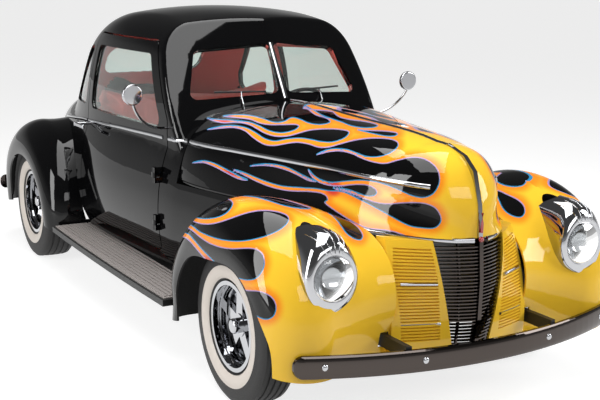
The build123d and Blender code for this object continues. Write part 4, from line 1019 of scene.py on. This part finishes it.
for side, sign in (("right", -1), ("left", 1)):
    radius, faceY = lampLook["lens"], lampLook["faceY"]
    rings = lampRings(sign)
    lampPiece(f"lampShell_{side}", rings, chrome, ["headlamp_rims"] if side == "left" else (),
              closeEnd=False)
    bowl = [(radius * s, faceY + lampLook["bowlIn"] + lampLook["bowlDeep"] * (1 - s * s))
            for s in lampLook["bowl"]]
    lampPiece(f"lampBowl_{side}", discRings(sign, bowl), chrome, ())
    outer = [(radius * s, faceY - lampLook["domeOut"] - lampLook["domeDeep"] * (1 - s * s))
             for s in lampLook["dome"]]
    inner = [(r * lampLook["glassShare"], y + lampLook["glassWall"]) for r, y in reversed(outer)]
    lampPiece(f"lampLens_{side}", discRings(sign, outer + inner), lampGlass,
              ["headlamp_lenses"] if side == "left" else ())
    for number, tilt in enumerate(lampLook["ribAngles"]):
        k = round((90 + tilt + 180) / 360 * lampLook["steps"]) % lampLook["steps"]
        moulding(f"lampRib_{side}_{number}", [ring[k] for ring in rings[2:7]], *lampLook["ribHalf"], chrome,
                 "chassis", "chrome")
    (across, height), (screwIn, screwDown) = lampLook["centre"], lampLook["screw"]
    heads(f"lampScrew_{side}", [(sign * across, faceY + screwIn, height + screwDown)], *lampLook["screwSize"],
          chrome, "chrome")
print("headlamps built")


# floor, light and world

studio = {
    "floor": "#A9A9A8", "floorHalf": 60, "floorZ": -0.001, "floorGlow": 0.79,
    "horizon": 0.40, "ceiling": 0.09, "ceilingFrom": 0.35, "white": 1.0,
    # place, target, size and power of each lamp
    "lamps": {"topBox": ((-0.5, -0.6, 5.2), (0, 0, 0.6), (3.0, 6.0), 300.0),
              "rightBox": ((-5.8, -0.6, 2.4), (0, -0.4, 0.6), (1.6, 4.5), 230.0),
              "leftBox": ((4.5, -4.5, 3.0), (0, -0.8, 0.6), (2.0, 3.0), 170.0),
              "frontBox": ((-0.6, -7.2, 3.4), (0, -1.6, 0.6), (4.5, 1.6), 105.0)},
}
# matt studio floor, white to the camera, in mirrors and through glass
floorMaterial, floorTree, floorShader = newMaterial("paleStudioFloor", studio["floor"], {
    "Roughness": 0.7, "Specular IOR Level": 0.1, "Emission Color": (1, 1, 1, 1)})
floorLight = addNode(floorTree, "ShaderNodeLightPath")
seen = addNode(floorTree, "ShaderNodeMath", {"operation": "MAXIMUM"}, links={
    0: floorLight.outputs["Is Camera Ray"], 1: floorLight.outputs["Is Glossy Ray"]})
seenToo = addNode(floorTree, "ShaderNodeMath", {"operation": "MAXIMUM"}, links={
    0: seen.outputs[0], 1: floorLight.outputs["Is Transmission Ray"]})
glow = addNode(floorTree, "ShaderNodeMath", {"operation": "MULTIPLY"}, {1: studio["floorGlow"]},
               {0: seenToo.outputs[0]})
floorTree.links.new(glow.outputs[0], floorShader.inputs["Emission Strength"])
floorMesh = bpy.data.meshes.new("studioFloor")
floorMesh.from_pydata([(x * studio["floorHalf"], y * studio["floorHalf"], studio["floorZ"])
                       for x, y in ((-1, -1), (1, -1), (1, 1), (-1, 1))], [], [(0, 1, 2, 3)])
floorMesh.materials.append(floorMaterial)
floorObject = bpy.data.objects.new("studioFloor", floorMesh)
scene.collection.objects.link(floorObject)

# white to the camera and through glass, a dim room to everything else so that the black paint stays deep
world = bpy.data.worlds.new("studioWorld")
scene.world = world
world.use_nodes = True
worldTree = world.node_tree
background = worldTree.nodes["Background"]
background.inputs["Color"].default_value = (1, 1, 1, 1)
worldLight = addNode(worldTree, "ShaderNodeLightPath")
direction = addNode(worldTree, "ShaderNodeTexCoord")
height = addNode(worldTree, "ShaderNodeSeparateXYZ", links={"Vector": direction.outputs["Generated"]})
room = addNode(worldTree, "ShaderNodeMapRange", {"interpolation_type": "SMOOTHSTEP"}, {
    "From Min": 0.0, "From Max": studio["ceilingFrom"],
    "To Min": studio["horizon"], "To Max": studio["ceiling"]}, {"Value": height.outputs["Z"]})
plainWhite = addNode(worldTree, "ShaderNodeMath", {"operation": "MAXIMUM"}, links={
    0: worldLight.outputs["Is Camera Ray"], 1: worldLight.outputs["Is Transmission Ray"]})
strength = addNode(worldTree, "ShaderNodeMix", {"data_type": "FLOAT"}, {3: studio["white"]}, {
    0: plainWhite.outputs[0], 2: room.outputs["Result"]})
worldTree.links.new(strength.outputs[0], background.inputs["Strength"])

for name, (place, target, size, power) in studio["lamps"].items():
    lamp = bpy.data.lights.new(name, "AREA")
    lamp.shape = "RECTANGLE"
    lamp.size, lamp.size_y = size
    lamp.energy = power
    holder = bpy.data.objects.new(name, lamp)
    scene.collection.objects.link(holder)
    holder.location = place
    holder.rotation_euler = (Vector(target) - Vector(place)).to_track_quat("-Z", "Y").to_euler()
print("studio lit")
